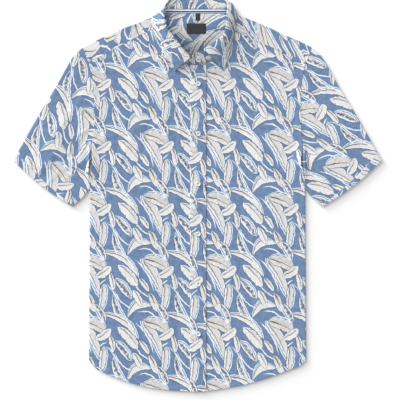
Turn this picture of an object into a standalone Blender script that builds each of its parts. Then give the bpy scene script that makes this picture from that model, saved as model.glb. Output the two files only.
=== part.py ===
"""A short-sleeved button-up shirt, laid flat on its back.

Every cut piece is a closed wall of cloth. X runs to the wearer's left, Y from
the hem to the collar and Z up from the surface that the shirt lies on. The
origin is at the middle of the base. Sizes are in millimetres in the tables
and become metres through MM.
"""

import math
from typing import NamedTuple

import bmesh
import bpy
import numpy as np

MM = 0.001

# ---------------------------------------------------------------- main sizes
CLOTH = 1.0           # thickness of a layer of cloth
COLLAR_CLOTH = 1.2    # collar pieces, which hold an interlining
PLACKET_CLOTH = 1.5   # the placket strip, which is folded double
LABEL_CLOTH = 1.0
GAP = 0.3             # between pieces at seams and between layers
LAYER = CLOTH + GAP   # height of the second layer of cloth
FOLD_OUT = CLOTH + GAP / 2   # outer radius of a folded edge
FOLD_IN = GAP / 2            # inner radius of a folded edge

HALF_SHOULDER = 246.0      # centre to the shoulder point
SHOULDER_POINT_Y = 314.5
UNDERARM_Y = 22.0
FRONT_CORNER_Y = 284.0     # where the front yoke seam meets the armhole
YOKE_SEAM_Y = 280.0        # the seam between back and yoke
NECK_BACK_Y = 394.0        # the back neck edge of the yoke
FRONT_OVERLAP = 17.0       # the right front runs this far past the centre
PLACKET_EDGE_X = -16.0     # folded front edge of the placket
PLACKET_SEAM_X = 19.0      # seam between the placket and the left front
PLACKET_TOP_Y = 276.5

# Half width of the body: y, distance of the side seam or armhole from the centre
SIDE_LINE = (
    (-357.0, 233.0),
    (-230.0, 232.4),
    (-100.0, 231.6),
    (UNDERARM_Y, 231.5),
    (60.0, 231.0),
    (94.0, 228.5),
    (120.0, 224.5),
    (150.0, 222.0),
    (200.0, 222.0),
    (255.0, 226.5),
    (FRONT_CORNER_Y, 235.0),
    (SHOULDER_POINT_Y, HALF_SHOULDER),
)

# Heights of the rows of points along the side seam and along the armhole
SEAM_ROWS = (-357.0, -320.0, -275.0, -230.0, -185.0, -140.0, -95.0, -50.0, -14.0)
ARMHOLE_ROWS = (UNDERARM_Y, 58.0, 90.0, 120.0, 150.0, 185.0, 220.0, 255.0)

# Shirt-tail hem from the wearer's right side seam to the left one: x, y
HEM = (
    (-233.0, -357.0),
    (-221.5, -372.5),
    (-205.0, -382.5),
    (-177.5, -394.0),
    (-149.5, -404.5),
    (-123.5, -412.0),
    (-83.0, -419.5),
    (-40.0, -423.7),
    (0.0, -425.2),
    (20.0, -424.0),
    (52.5, -419.0),
    (95.5, -411.5),
    (128.0, -402.5),
    (170.0, -389.0),
    (197.0, -378.5),
    (221.5, -368.5),
    (233.0, -357.0),
)


class ArmRow(NamedTuple):
    """A row of points over an arm of the yoke, square to the shoulder."""

    share: float     # of the way from the neck to the armhole
    back_x: float    # distance from the centre at the back seam
    fold_x: float    # at the shoulder fold
    front_x: float   # and at the front seam
    fold_y: float
    front_y: float


YOKE_RIGHT = (
    ArmRow(0.00, 80.0, 82.0, 81.0, 386.5, 357.5),
    ArmRow(0.17, 106.0, 109.0, 106.0, 375.0, 350.5),
    ArmRow(0.33, 132.0, 136.0, 132.0, 364.0, 337.0),
    ArmRow(0.50, 158.0, 164.0, 158.0, 353.5, 323.5),
    ArmRow(0.67, 184.0, 191.0, 183.0, 341.5, 309.5),
    ArmRow(0.83, 210.0, 219.0, 209.0, 328.5, 296.0),
    ArmRow(1.00, 234.0, HALF_SHOULDER, 235.0, SHOULDER_POINT_Y, FRONT_CORNER_Y),
)
YOKE_LEFT = (
    ArmRow(0.00, 76.0, 76.0, 74.0, 388.5, 352.0),
    ArmRow(0.17, 103.0, 104.0, 101.0, 377.5, 341.0),
    ArmRow(0.33, 129.0, 132.0, 128.0, 366.5, 329.0),
    ArmRow(0.50, 156.0, 161.0, 154.0, 354.0, 318.0),
    ArmRow(0.67, 182.0, 189.0, 181.0, 340.5, 307.0),
    ArmRow(0.83, 209.0, 218.0, 208.0, 328.5, 295.5),
    ArmRow(1.00, 234.0, HALF_SHOULDER, 235.0, SHOULDER_POINT_Y, FRONT_CORNER_Y),
)

# Back neck edge of the yoke between its two arms: x, y
BACK_NECK = (
    (-68.0, 393.0),
    (-48.0, NECK_BACK_Y),
    (-24.0, NECK_BACK_Y),
    (0.0, NECK_BACK_Y),
    (24.0, NECK_BACK_Y),
    (46.0, NECK_BACK_Y),
    (63.0, 393.5),
)

# Front neck edges, from the yoke seam down to the button line: x, y
NECK_RIGHT = (
    (-81.0, 357.5),
    (-72.0, 325.0),
    (-54.0, 301.0),
    (-34.5, 284.0),
    (-14.0, 277.5),
    (FRONT_OVERLAP, 277.0),
)
NECK_LEFT = (
    (74.0, 352.0),
    (66.5, 323.5),
    (52.5, 302.0),
    (34.0, 285.5),
    (PLACKET_SEAM_X + GAP, 278.5),
)

# Where the columns of the front panels start at the hem
RIGHT_HEM_X = (-233.0, -221.5, -205.0, -182.0, -157.0, -130.0, -104.0,
               -80.0, -56.0, -32.0, -8.0, FRONT_OVERLAP)
LEFT_HEM_X = (233.0, 221.5, 205.0, 182.0, 157.0, 130.0, 104.0,
              80.0, 58.0, 38.0, PLACKET_SEAM_X + GAP)

# Outer edge of a sleeve, from the shoulder point to the hem: x, y
OVERARM = (
    (HALF_SHOULDER, SHOULDER_POINT_Y),
    (265.5, 295.8),
    (282.5, 268.5),
    (300.5, 235.5),
    (321.0, 201.5),
    (342.5, 166.0),
    (362.5, 131.5),
    (380.5, 99.0),
    (396.7, 72.3),
)
# Underarm seam of a sleeve, from the armhole to the hem: x, y
UNDERARM = (
    (231.8, UNDERARM_Y),
    (243.5, 8.5),
    (255.5, -6.0),
    (268.0, -24.0),
)
SLEEVE_HEM_BOW = 6.0   # how far the sleeve hem curves out from a straight line


class Swell(NamedTuple):
    """A large soft swell or fold of the upper layer."""

    x: float       # its middle
    y: float
    turn: float    # direction in degrees
    reach: float   # along its direction
    width: float   # across it
    rise: float


SWELLS = (
    Swell(-125.0, -60.0, 90.0, 215.0, 60.0, 1.1),
    Swell(128.0, -40.0, 90.0, 215.0, 60.0, 1.1),
    Swell(152.0, 176.0, -20.0, 64.0, 24.0, 0.9),
    Swell(-140.0, 160.0, 25.0, 60.0, 24.0, 0.7),
    Swell(160.0, -285.0, 78.0, 80.0, 28.0, 1.0),
    Swell(-168.0, -262.0, 100.0, 80.0, 26.0, 0.9),
    Swell(-64.0, -190.0, 95.0, 100.0, 18.0, 0.6),
    Swell(72.0, -150.0, 85.0, 100.0, 18.0, 0.7),
    Swell(-318.0, 112.0, -127.0, 66.0, 38.0, 1.5),
    Swell(318.0, 112.0, -53.0, 66.0, 38.0, 1.5),
    Swell(-280.0, 58.0, -140.0, 34.0, 12.0, 0.9),
    Swell(280.0, 58.0, -40.0, 34.0, 12.0, 0.9),
)

# Where the collar leaf lies under the back neck, the yoke is lifted over it
NECK_LIFT = 1.7
LIFT_FULL_Y = 384.0
LIFT_NONE_Y = 350.0
LIFT_FULL_X = 66.0
LIFT_NONE_X = 104.0


class BandRow(NamedTuple):
    """A section up the collar stand."""

    neck: tuple
    fold: tuple


class CollarRow(NamedTuple):
    """A section of the collar: up the stand, over the fold and down the leaf."""

    neck: tuple
    fold: tuple
    edge: tuple
    crown_at: float     # share of the way from fold to edge where the leaf bulges
    crown_rise: float   # how far it bulges there


# From the wearer's right throat round the back to the left throat
COLLAR = (
    CollarRow((-15.0, 279.6, 3.6), (-14.8, 291.0, 13.0), (-48.4, 262.8, 5.0), 0.38, 2.6),
    CollarRow((-33.0, 286.8, 3.8), (-30.5, 309.0, 15.5), (-60.0, 279.5, 4.9), 0.38, 3.2),
    CollarRow((-52.0, 303.4, 4.0), (-47.5, 331.0, 17.0), (-71.5, 299.0, 4.9), 0.38, 3.6),
    CollarRow((-69.8, 326.2, 4.0), (-62.0, 349.0, 17.5), (-82.0, 323.5, 5.0), 0.38, 3.8),
    CollarRow((-78.6, 350.0, 4.0), (-69.0, 367.5, 17.5), (-91.8, 347.0, 5.2), 0.38, 4.0),
    CollarRow((-80.2, 371.0, 4.2), (-70.5, 385.0, 16.0), (-98.4, 374.0, 5.0), 0.38, 3.6),
    CollarRow((-77.0, 386.0, 4.2), (-68.5, 402.0, 12.5), (-85.0, 394.5, 3.6), 0.4, 3.0),
    CollarRow((-69.0, 394.6, 3.8), (-59.5, 415.0, 9.0), (-68.0, 411.0, 1.6), 0.42, 1.0),
    CollarRow((-54.0, 396.0, 3.5), (-48.0, 421.0, 6.8), (-51.5, 400.0, 0.75), 0.18, -2.2),
    CollarRow((-28.0, 396.2, 3.4), (-26.0, 422.8, 5.4), (-26.0, 389.5, 0.65), 0.12, -2.6),
    CollarRow((0.0, 396.2, 3.4), (1.0, 423.0, 5.2), (0.0, 387.0, 0.65), 0.1, -2.8),
    CollarRow((28.0, 396.2, 3.4), (28.0, 422.8, 5.4), (28.0, 389.5, 0.65), 0.12, -2.6),
    CollarRow((50.0, 396.0, 3.5), (50.0, 421.0, 6.8), (52.0, 400.0, 0.75), 0.18, -2.0),
    CollarRow((63.5, 394.8, 3.8), (60.0, 415.0, 9.0), (70.5, 411.0, 1.9), 0.42, 1.4),
    CollarRow((71.0, 387.0, 4.2), (63.5, 402.0, 12.5), (82.5, 393.0, 3.6), 0.4, 3.0),
    CollarRow((73.2, 371.0, 4.2), (63.0, 385.0, 16.0), (84.0, 374.0, 5.0), 0.38, 3.4),
    CollarRow((71.6, 349.0, 4.0), (62.0, 366.0, 17.5), (81.5, 349.0, 5.2), 0.38, 3.6),
    CollarRow((64.4, 325.4, 4.0), (57.0, 342.0, 17.5), (74.5, 323.5, 5.0), 0.38, 3.6),
    CollarRow((50.4, 304.4, 4.0), (45.0, 330.5, 17.0), (68.5, 302.0, 4.9), 0.38, 3.4),
    CollarRow((32.6, 288.4, 4.4), (30.5, 319.5, 16.2), (62.5, 282.5, 4.9), 0.38, 3.2),
    CollarRow((14.0, 281.0, 5.2), (14.0, 308.5, 15.4), (57.0, 262.8, 5.0), 0.36, 2.6),
)
# The stand runs on past the leaf at the throat. Its right end passes under
# the left end, which carries the buttonhole.
STAND_UNDER = (
    BandRow((11.0, 280.0, 2.4), (10.5, 287.0, 4.6)),
    BandRow((-2.0, 279.8, 2.5), (-2.4, 288.2, 6.4)),
)
STAND_TAB = (
    BandRow((-1.0, 278.6, 5.7), (-1.0, 301.0, 15.4)),
    BandRow((-11.6, 278.2, 6.4), (-11.8, 293.5, 16.6)),
)
CROWN_STEPS = 4        # points from the fold to the bulge of the leaf
EDGE_STEPS = 5         # points from the bulge to the edge
STAND_STEPS = 4
LEAF_SEAM_DROP = 2.6   # from the fold down to the seam between leaf and stand
SEAM_GAP = 0.65        # between the top of the stand and the leaf
LEAF_TURN = 7.0        # length of the tangent that carries the leaf over the fold


class Strip(NamedTuple):
    """A strip on the inner face of the yoke, and its number of cells."""

    right: float
    left: float
    low: float
    high: float
    across: int
    up: int


TAPE = Strip(-67.0, 61.0, 385.0, 393.2, 16, 1)
LABEL_MAIN = Strip(-23.0, 18.0, 344.0, 366.0, 3, 4)
LABEL_SIZE = Strip(-4.2, 5.6, 371.4, 384.6, 1, 3)

BUTTON_X = 2.0
BUTTON_TOP_Y = 236.0
BUTTON_PITCH = 107.4
BUTTON_COUNT = 6
BUTTON_SIDES = 16
# Turned profile of a button: radius, height
BUTTON_PROFILE = (
    (4.5, 0.0),
    (5.3, 0.7),
    (5.3, 1.5),
    (4.6, 2.2),
    (3.2, 1.6),
)
COLLAR_BUTTON_Y = 287.0

# Points of the coarse grids
UNDER_POINTS = 6       # up the yoke's under layer
OVER_POINTS = 4        # down its upper layer
FOLD_ANGLES = np.radians((-45.0, 0.0, 45.0))   # round a folded edge
SLEEVE_RINGS = 10
PLACKET_ROWS = 25
PLACKET_COLUMNS = 3

# Finishes: base colour, roughness
PRINTED_COTTON = ((0.40, 0.48, 0.58, 1.0), 0.85)
PRINT_INSIDE = ((0.36, 0.43, 0.52, 1.0), 0.88)
TAPE_NAVY = ((0.05, 0.08, 0.16, 1.0), 0.80)
LABEL_BLACK = ((0.02, 0.022, 0.025, 1.0), 0.60)
BUTTON_SHELL = ((0.82, 0.80, 0.74, 1.0), 0.25)


# ---------------------------------------------------------------- helpers
def smoothstep(share):
    """Ease from 0 to 1 with level ends."""
    share = np.clip(share, 0.0, 1.0)
    return share * share * (3.0 - 2.0 * share)


def through(table, at):
    """Read a smooth curve through a table's (position, value) rows."""
    rows = np.asarray(table, float)
    known, value = rows[:, 0], rows[:, 1]
    at = np.clip(np.asarray(at, float), known[0], known[-1])
    step = np.diff(known)
    slope = np.diff(value) / step
    tangent = np.concatenate(([slope[0]], (slope[1:] + slope[:-1]) / 2, [slope[-1]]))
    turning = np.concatenate(([False], slope[1:] * slope[:-1] <= 0, [False]))
    tangent[turning] = 0.0
    row = np.clip(np.searchsorted(known, at, side="right") - 1, 0, len(step) - 1)
    share = (at - known[row]) / step[row]
    return (value[row] * (1 + 2 * share) * (1 - share) ** 2
            + tangent[row] * step[row] * share * (1 - share) ** 2
            + value[row + 1] * share ** 2 * (3 - 2 * share)
            + tangent[row + 1] * step[row] * share ** 2 * (share - 1))


def along(rows, at):
    """Carry whole rows smoothly from one to the next, at fractional row numbers."""
    rows = np.asarray(rows, float)
    at = np.asarray(at, float)
    low = np.clip(at.astype(int), 0, len(rows) - 2)
    share = (at - low)[:, None]
    before = rows[np.maximum(low - 1, 0)]
    start, end = rows[low], rows[low + 1]
    after = rows[np.minimum(low + 2, len(rows) - 1)]
    leave, arrive = (end - before) / 2, (after - start) / 2
    return (start * (1 + 2 * share) * (1 - share) ** 2
            + leave * share * (1 - share) ** 2
            + end * share ** 2 * (3 - 2 * share)
            + arrive * share ** 2 * (share - 1))


def swell(x, y):
    """Height of the soft swells of the upper layer."""
    height = np.zeros_like(np.asarray(x, float))
    for fold in SWELLS:
        cos, sin = math.cos(math.radians(fold.turn)), math.sin(math.radians(fold.turn))
        run = (x - fold.x) * cos + (y - fold.y) * sin
        off = (y - fold.y) * cos - (x - fold.x) * sin
        height = height + fold.rise * np.exp(-(run / fold.reach) ** 2
                                             - (off / fold.width) ** 2)
    return height


def lift(x, y):
    """Height of the yoke over the collar leaf that lies under the back neck."""
    up = smoothstep((y - LIFT_NONE_Y) / (LIFT_FULL_Y - LIFT_NONE_Y))
    out = smoothstep((np.abs(x) - LIFT_FULL_X) / (LIFT_NONE_X - LIFT_FULL_X))
    return NECK_LIFT * up * (1.0 - out)


def side_line(y):
    """Distance of the side seam or the armhole from the centre."""
    return through(SIDE_LINE, y)


def points(x, y, z):
    """Join three arrays into one array of points."""
    return np.stack(np.broadcast_arrays(x, y, z), axis=-1)


def make_material(name, finish):
    """A plain Principled finish."""
    colour, roughness = finish
    material = bpy.data.materials.new(name)
    material.use_nodes = True
    shader = material.node_tree.nodes["Principled BSDF"]
    shader.inputs["Base Color"].default_value = colour
    shader.inputs["Roughness"].default_value = roughness
    shader.inputs["Metallic"].default_value = 0.0
    material.diffuse_color = colour
    return material


def make_object(name, shape, material):
    """Put a bmesh into the scene as a named object with its faces outwards."""
    bmesh.ops.recalc_face_normals(shape, faces=shape.faces)
    mesh = bpy.data.meshes.new(name)
    shape.to_mesh(mesh)
    shape.free()
    mesh.materials.append(material)
    piece = bpy.data.objects.new(name, mesh)
    bpy.context.scene.collection.objects.link(piece)
    return piece


def build_wall(name, outer, inner, material, cells=None, tube=False):
    """A closed wall of cloth between two matching grids of points.

    cells marks the grid cells that hold cloth; without it all of them do. In
    a tube the last column of cells joins the first.
    """
    rows, columns = outer.shape[:2]
    across = columns if tube else columns - 1
    if cells is None:
        cells = np.ones((rows - 1, across), bool)
    shape = bmesh.new()
    corner = {}

    def vertex(layer, row, column):
        """The vertex of a grid point, made the first time it is used."""
        key = (layer, row, column % columns)
        if key not in corner:
            grid = outer if layer == 0 else inner
            corner[key] = shape.verts.new(grid[key[1], key[2]] * MM)
        return corner[key]

    def has(row, column):
        """Whether a cell holds cloth."""
        if tube:
            column %= across
        inside = 0 <= row < rows - 1 and 0 <= column < across
        return inside and bool(cells[row, column])

    def rim(first, second):
        """Close the wall between two neighbouring grid points."""
        shape.faces.new((vertex(0, *first), vertex(0, *second),
                         vertex(1, *second), vertex(1, *first)))

    for row in range(rows - 1):
        for column in range(across):
            if not has(row, column):
                continue
            ring = ((row, column), (row, column + 1),
                    (row + 1, column + 1), (row + 1, column))
            shape.faces.new([vertex(0, *at) for at in ring])
            shape.faces.new([vertex(1, *at) for at in reversed(ring)])
            beside = (has(row - 1, column), has(row, column + 1),
                      has(row + 1, column), has(row, column - 1))
            for side in range(4):
                if not beside[side]:
                    rim(ring[side], ring[(side + 1) % 4])
    return make_object(name, shape, material)


def thicken(middle, thickness):
    """Offset a grid of points by half a thickness to each side of it."""
    down = np.gradient(middle, axis=0)
    over = np.gradient(middle, axis=1)
    normal = np.cross(down, over)
    normal /= np.linalg.norm(normal, axis=-1, keepdims=True)
    return middle + normal * thickness / 2, middle - normal * thickness / 2


# ---------------------------------------------------------------- body panels
def upper_layer(x, y, height):
    """A point grid of the upper layer, a given height above the lower layer."""
    return points(x, y, height + lift(x, y) + swell(x, y))


def front_panel(name, side, hem_x, neck, yoke, material):
    """One front: columns run from the hem to the yoke seam or the neck edge."""
    seam = [(side * row.front_x, row.front_y) for row in reversed(yoke)]
    tops = np.array(seam + list(neck[1:]))
    tops[:, 1] -= GAP / 2
    side_y = np.array(SEAM_ROWS + ARMHOLE_ROWS + (FRONT_CORNER_Y,))
    side_y[-1] = tops[0, 1]
    share = ((side_y - side_y[0]) / (side_y[-1] - side_y[0]))[:, None]
    hem_x = np.asarray(hem_x, float)
    low_y = through(HEM, hem_x)
    y = low_y + (tops[:, 1] - low_y) * share
    straight = hem_x + (tops[:, 0] - hem_x) * share
    bow = side * side_line(side_y)[:, None] - straight[:, :1]
    fade = (1.0 - np.arange(len(hem_x)) / (len(hem_x) - 1)) ** 2
    x = straight + bow * fade
    outer = upper_layer(x, y, LAYER + CLOTH)
    inner = upper_layer(x, y, LAYER)
    return build_wall(name, outer, inner, material)


def back_panel(material):
    """The back, flat on the surface, from the hem to the yoke seam."""
    side_y = np.array(SEAM_ROWS + ARMHOLE_ROWS + (YOKE_SEAM_Y - GAP / 2,))
    share = ((side_y - side_y[0]) / (side_y[-1] - side_y[0]))[:, None]
    hem = np.asarray(HEM, float)
    y = hem[:, 1] + (side_y[-1] - hem[:, 1]) * share
    x = hem[:, 0] / side_line(side_y[0]) * side_line(side_y)[:, None]
    return build_wall("back", points(x, y, 0.0), points(x, y, CLOTH), material)


def arm_bow(y, low_x, high_x):
    """How far the armhole bows from a straight line between the ends of a run."""
    run = np.abs(y - y[0]) / abs(y[-1] - y[0])
    return side_line(y) - low_x - (high_x - low_x) * run


def yoke_arm(rows, side):
    """Columns of an arm of the yoke: under layer, folded edge and upper layer."""
    low = YOKE_SEAM_Y + GAP / 2
    end = rows[-1]
    top = SHOULDER_POINT_Y - FOLD_OUT
    bow_under = arm_bow(np.linspace(low, top, UNDER_POINTS), end.back_x, end.fold_x)
    bow_over = arm_bow(np.linspace(top, end.front_y + GAP / 2, OVER_POINTS),
                       end.fold_x, end.front_x)
    fold_cos, fold_sin = np.cos(FOLD_ANGLES), np.sin(FOLD_ANGLES)
    flat_under, flat_over = np.zeros(UNDER_POINTS), np.zeros(OVER_POINTS)
    columns = []
    for row in rows:
        centre = row.fold_y - FOLD_OUT
        under = np.linspace(low, centre, UNDER_POINTS)
        over = np.linspace(centre, row.front_y + GAP / 2, OVER_POINTS)
        y_out = np.concatenate((under, centre + FOLD_OUT * fold_cos, over))
        y_in = np.concatenate((under, centre + FOLD_IN * fold_cos, over))
        z_out = np.concatenate((flat_under, FOLD_OUT * (1 + fold_sin),
                                flat_over + LAYER + CLOTH))
        z_in = np.concatenate((flat_under + CLOTH, FOLD_OUT + FOLD_IN * fold_sin,
                               flat_over + LAYER))
        x_under = np.linspace(row.back_x, row.fold_x, UNDER_POINTS)
        x_under += row.share ** 2 * bow_under
        x_over = np.linspace(row.fold_x, row.front_x, OVER_POINTS)
        x_over += row.share ** 2 * bow_over
        x_fold = np.full(len(FOLD_ANGLES), x_over[0])
        x = side * np.concatenate((x_under, x_fold, x_over))
        soft = np.zeros_like(x)
        soft[-OVER_POINTS:] = swell(x[-OVER_POINTS:], over)
        columns.append((points(x, y_out, z_out + soft + lift(x, y_out)),
                        points(x, y_in, z_in + soft + lift(x, y_in))))
    return columns


def yoke(material):
    """The yoke: across the back, over the shoulders and onto the fronts."""
    right = yoke_arm(YOKE_RIGHT, -1)[::-1]
    left = yoke_arm(YOKE_LEFT, 1)
    rows = len(right[0][0])
    middle = []
    for x_top, y_top in BACK_NECK:
        y = np.linspace(YOKE_SEAM_Y + GAP / 2, y_top, UNDER_POINTS)
        x = np.full(UNDER_POINTS, x_top)
        under = points(x, y, lift(x, y))
        spare = np.repeat(under[-1:], rows - UNDER_POINTS, axis=0)
        under = np.concatenate((under, spare))
        middle.append((under, under + (0.0, 0.0, CLOTH)))
    columns = right + middle + left
    outer = np.stack([column[0] for column in columns], axis=1)
    inner = np.stack([column[1] for column in columns], axis=1)
    cells = np.ones((rows - 1, len(columns) - 1), bool)
    cells[UNDER_POINTS - 1:, len(right) - 1:len(right) + len(middle)] = False
    return build_wall("yoke", outer, inner, material, cells)


def placket(material):
    """The buttonhole strip, one layer above the right front."""
    y_low = through(HEM, (PLACKET_EDGE_X, PLACKET_SEAM_X))
    share = np.linspace(0.0, 1.0, PLACKET_ROWS)[:, None]
    x = np.linspace(PLACKET_EDGE_X, PLACKET_SEAM_X, PLACKET_COLUMNS)[None, :]
    low = np.interp(x, (PLACKET_EDGE_X, PLACKET_SEAM_X), y_low)
    y = low + (PLACKET_TOP_Y - low) * share
    height = LAYER + CLOTH + GAP
    return build_wall("placket", upper_layer(x, y, height + PLACKET_CLOTH),
                      upper_layer(x, y, height), material)


# ---------------------------------------------------------------- sleeves
def sleeve_plan(share, run):
    """Place of a sleeve point in plan, a patch blended from its four edges.

    share goes from the shoulder edge to the underarm and run from the armhole
    to the hem.
    """
    share, run = np.broadcast_arrays(share, run)
    top = np.asarray(OVERARM, float)
    low = np.asarray(UNDERARM, float)
    place_top = along(top, run.ravel() * (len(top) - 1)).reshape(run.shape + (2,))
    place_low = along(low, run.ravel() * (len(low) - 1)).reshape(run.shape + (2,))
    arm_y = SHOULDER_POINT_Y + (UNDERARM_Y - SHOULDER_POINT_Y) * share
    armhole = np.stack((side_line(arm_y) + GAP, arm_y), axis=-1)
    line = top[-1] + (low[-1] - top[-1]) * share[..., None]
    across = (low[-1] - top[-1]) / np.linalg.norm(low[-1] - top[-1])
    outward = np.array((-across[1], across[0]))
    bow = np.sin(math.pi * share)[..., None]
    hem = line + outward * SLEEVE_HEM_BOW * bow
    share, run = share[..., None], run[..., None]
    corners = ((1 - share) * (1 - run) * top[0] + share * (1 - run) * low[0]
               + (1 - share) * run * top[-1] + share * run * low[-1])
    return ((1 - run) * armhole + run * hem + (1 - share) * place_top
            + share * place_low - corners)


def sleeve(name, side, material):
    """A flattened tube of cloth, open at the armhole and at the hem."""
    arm_y = np.array((SHOULDER_POINT_Y, 300.0, FRONT_CORNER_Y) + ARMHOLE_ROWS[::-1])
    share = (SHOULDER_POINT_Y - arm_y) / (SHOULDER_POINT_Y - UNDERARM_Y)
    run = np.linspace(0.0, 1.0, SLEEVE_RINGS)
    width = np.linalg.norm(sleeve_plan(0.0, run) - sleeve_plan(1.0, run), axis=-1)
    tuck = (FOLD_OUT / width)[:, None]
    flat = tuck + share[None, :] * (1.0 - 2.0 * tuck)
    upper_start = len(share) + len(FOLD_ANGLES)
    upper = slice(upper_start, upper_start + len(share))

    def ring(radius, low, high):
        """One face of the tube: under layer, underarm, upper layer, shoulder edge."""
        reach = tuck * radius / FOLD_OUT * np.cos(FOLD_ANGLES)
        edge = np.broadcast_to(FOLD_OUT + radius * np.sin(FOLD_ANGLES), reach.shape)
        around = np.concatenate((flat, 1.0 - tuck + reach, flat[:, ::-1],
                                 tuck - reach), axis=1)
        height = np.concatenate((np.full(flat.shape, low), edge,
                                 np.full(flat.shape, high), edge[:, ::-1]), axis=1)
        plan = sleeve_plan(around, run[:, None])
        x, y = side * plan[..., 0], plan[..., 1]
        height[:, upper] += swell(x[:, upper], y[:, upper])
        return points(x, y, height)

    outer = ring(FOLD_OUT, 0.0, LAYER + CLOTH)
    inner = ring(FOLD_IN, CLOTH, LAYER)
    return build_wall(name, outer, inner, material, tube=True)


# ---------------------------------------------------------------- collar
def unit(vectors):
    """Vectors of length one."""
    return vectors / np.linalg.norm(vectors, axis=-1, keepdims=True)


def square_to_fold(fold, direction):
    """The part of a direction that is square to the fold line, at length one."""
    tangent = unit(np.gradient(fold, axis=0))
    return unit(direction - tangent * np.sum(direction * tangent, axis=-1, keepdims=True))


def hermite(start, leave, end, arrive, share):
    """A point on the curve between two points with given tangents."""
    return (start * (1 + 2 * share) * (1 - share) ** 2
            + leave * share * (1 - share) ** 2
            + end * share ** 2 * (3 - 2 * share)
            + arrive * share ** 2 * (share - 1))


def collar_leaf(material):
    """The leaf: from its seam over the fold and down to its edge, with two points."""
    table = [(*row.neck, *row.fold, *row.edge, row.crown_at, row.crown_rise)
             for row in COLLAR]
    sections = along(table, np.linspace(0, len(table) - 1, 2 * len(table) - 1))
    neck, fold, edge, crown_at, crown_rise = np.split(sections, (3, 6, 9, 10), axis=1)
    rise = square_to_fold(fold, fold - neck)
    crown = fold + (edge - fold) * crown_at
    crown[:, 2:] += crown_rise
    leave = rise * LEAF_TURN
    cross = (edge - fold) / 2
    middle = [fold - rise * LEAF_SEAM_DROP]
    for share in np.linspace(0.0, 1.0, CROWN_STEPS):
        middle.append(hermite(fold, leave, crown, cross, share))
    for share in np.linspace(0.0, 1.0, EDGE_STEPS)[1:]:
        middle.append(hermite(crown, cross, edge, edge - crown, share))
    outer, inner = thicken(np.stack(middle, axis=1), COLLAR_CLOTH)
    return build_wall("collar_leaf", outer, inner, material)


def collar_stand(material):
    """The band that carries the leaf, buttoned at the throat."""
    neck = np.array([row.neck for row in COLLAR])
    fold = np.array([row.fold for row in COLLAR])
    seam = fold - square_to_fold(fold, fold - neck) * (LEAF_SEAM_DROP + SEAM_GAP)
    rows = np.concatenate(([(*row.neck, *row.fold) for row in STAND_UNDER],
                           np.concatenate((neck, seam), axis=1),
                           [(*row.neck, *row.fold) for row in STAND_TAB]))
    sections = along(rows, np.linspace(0, len(rows) - 1, 2 * len(rows) - 1))
    low, top = np.split(sections, 2, axis=1)
    middle = [low + (top - low) * share for share in np.linspace(0.0, 1.0, STAND_STEPS)]
    outer, inner = thicken(np.stack(middle, axis=1), COLLAR_CLOTH)
    return build_wall("collar_stand", outer, inner, material)


# ---------------------------------------------------------------- small pieces
def laid_strip(name, strip, thickness, material):
    """A flat piece lying on the inner face of the yoke."""
    x = np.linspace(strip.right, strip.left, strip.across + 1)[None, :]
    y = np.linspace(strip.low, strip.high, strip.up + 1)[:, None]
    base = CLOTH + GAP + lift(x, y)
    return build_wall(name, points(x, y, base + thickness), points(x, y, base), material)


def button(name, centre, lean, material):
    """A turned button with a raised rim, tipped back by an angle about X."""
    shape = bmesh.new()
    rings = []
    for radius, height in BUTTON_PROFILE:
        ring = []
        for step in range(BUTTON_SIDES):
            angle = 2.0 * math.pi * step / BUTTON_SIDES
            place = np.array((radius * math.cos(angle), radius * math.sin(angle), height))
            ring.append(shape.verts.new(place * MM))
        rings.append(ring)
    for low, high in zip(rings, rings[1:]):
        for step in range(BUTTON_SIDES):
            after = (step + 1) % BUTTON_SIDES
            shape.faces.new((low[step], low[after], high[after], high[step]))
    shape.faces.new(rings[0][::-1])
    shape.faces.new(rings[-1])
    piece = make_object(name, shape, material)
    piece.location = [value * MM for value in centre]
    piece.rotation_euler = (lean, 0.0, 0.0)
    return piece


def buttons(material):
    """Six buttons down the placket and one on the collar stand."""
    top = LAYER + CLOTH + GAP + PLACKET_CLOTH + GAP
    for index in range(BUTTON_COUNT):
        y = BUTTON_TOP_Y - index * BUTTON_PITCH
        z = top + float(swell(BUTTON_X, y)) + GAP
        button("button_%d" % (index + 1), (BUTTON_X, y, z), 0.0, material)
    neck = np.array(STAND_TAB[0].neck)
    rise = unit(STAND_TAB[0].fold - neck)
    lean = math.atan2(rise[2], rise[1])
    off = COLLAR_CLOTH / 2 + 2 * GAP
    run = (COLLAR_BUTTON_Y - neck[1]) / rise[1]
    place = neck + rise * run + np.array((0.0, -rise[2], rise[1])) * off
    button("button_collar", (BUTTON_X, place[1], place[2]), lean, material)


def clear_scene():
    """Start from an empty scene."""
    for leftover in list(bpy.data.objects):
        bpy.data.objects.remove(leftover, do_unlink=True)


def main():
    """Build every cut piece of the shirt."""
    clear_scene()
    cotton = make_material("printed_cotton", PRINTED_COTTON)
    lining = make_material("print_inside", PRINT_INSIDE)
    black = make_material("label_black", LABEL_BLACK)
    shell = make_material("button_shell", BUTTON_SHELL)
    back_panel(cotton)
    yoke(lining)
    front_panel("front_right", -1, RIGHT_HEM_X, NECK_RIGHT, YOKE_RIGHT, cotton)
    front_panel("front_left", 1, LEFT_HEM_X, NECK_LEFT, YOKE_LEFT, cotton)
    placket(cotton)
    sleeve("sleeve_right", -1, cotton)
    sleeve("sleeve_left", 1, cotton)
    collar_stand(cotton)
    collar_leaf(cotton)
    laid_strip("neck_tape", TAPE, CLOTH, make_material("tape_navy", TAPE_NAVY))
    laid_strip("label_main", LABEL_MAIN, LABEL_CLOTH, black)
    laid_strip("label_size", LABEL_SIZE, LABEL_CLOTH, black)
    buttons(shell)


main()
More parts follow.
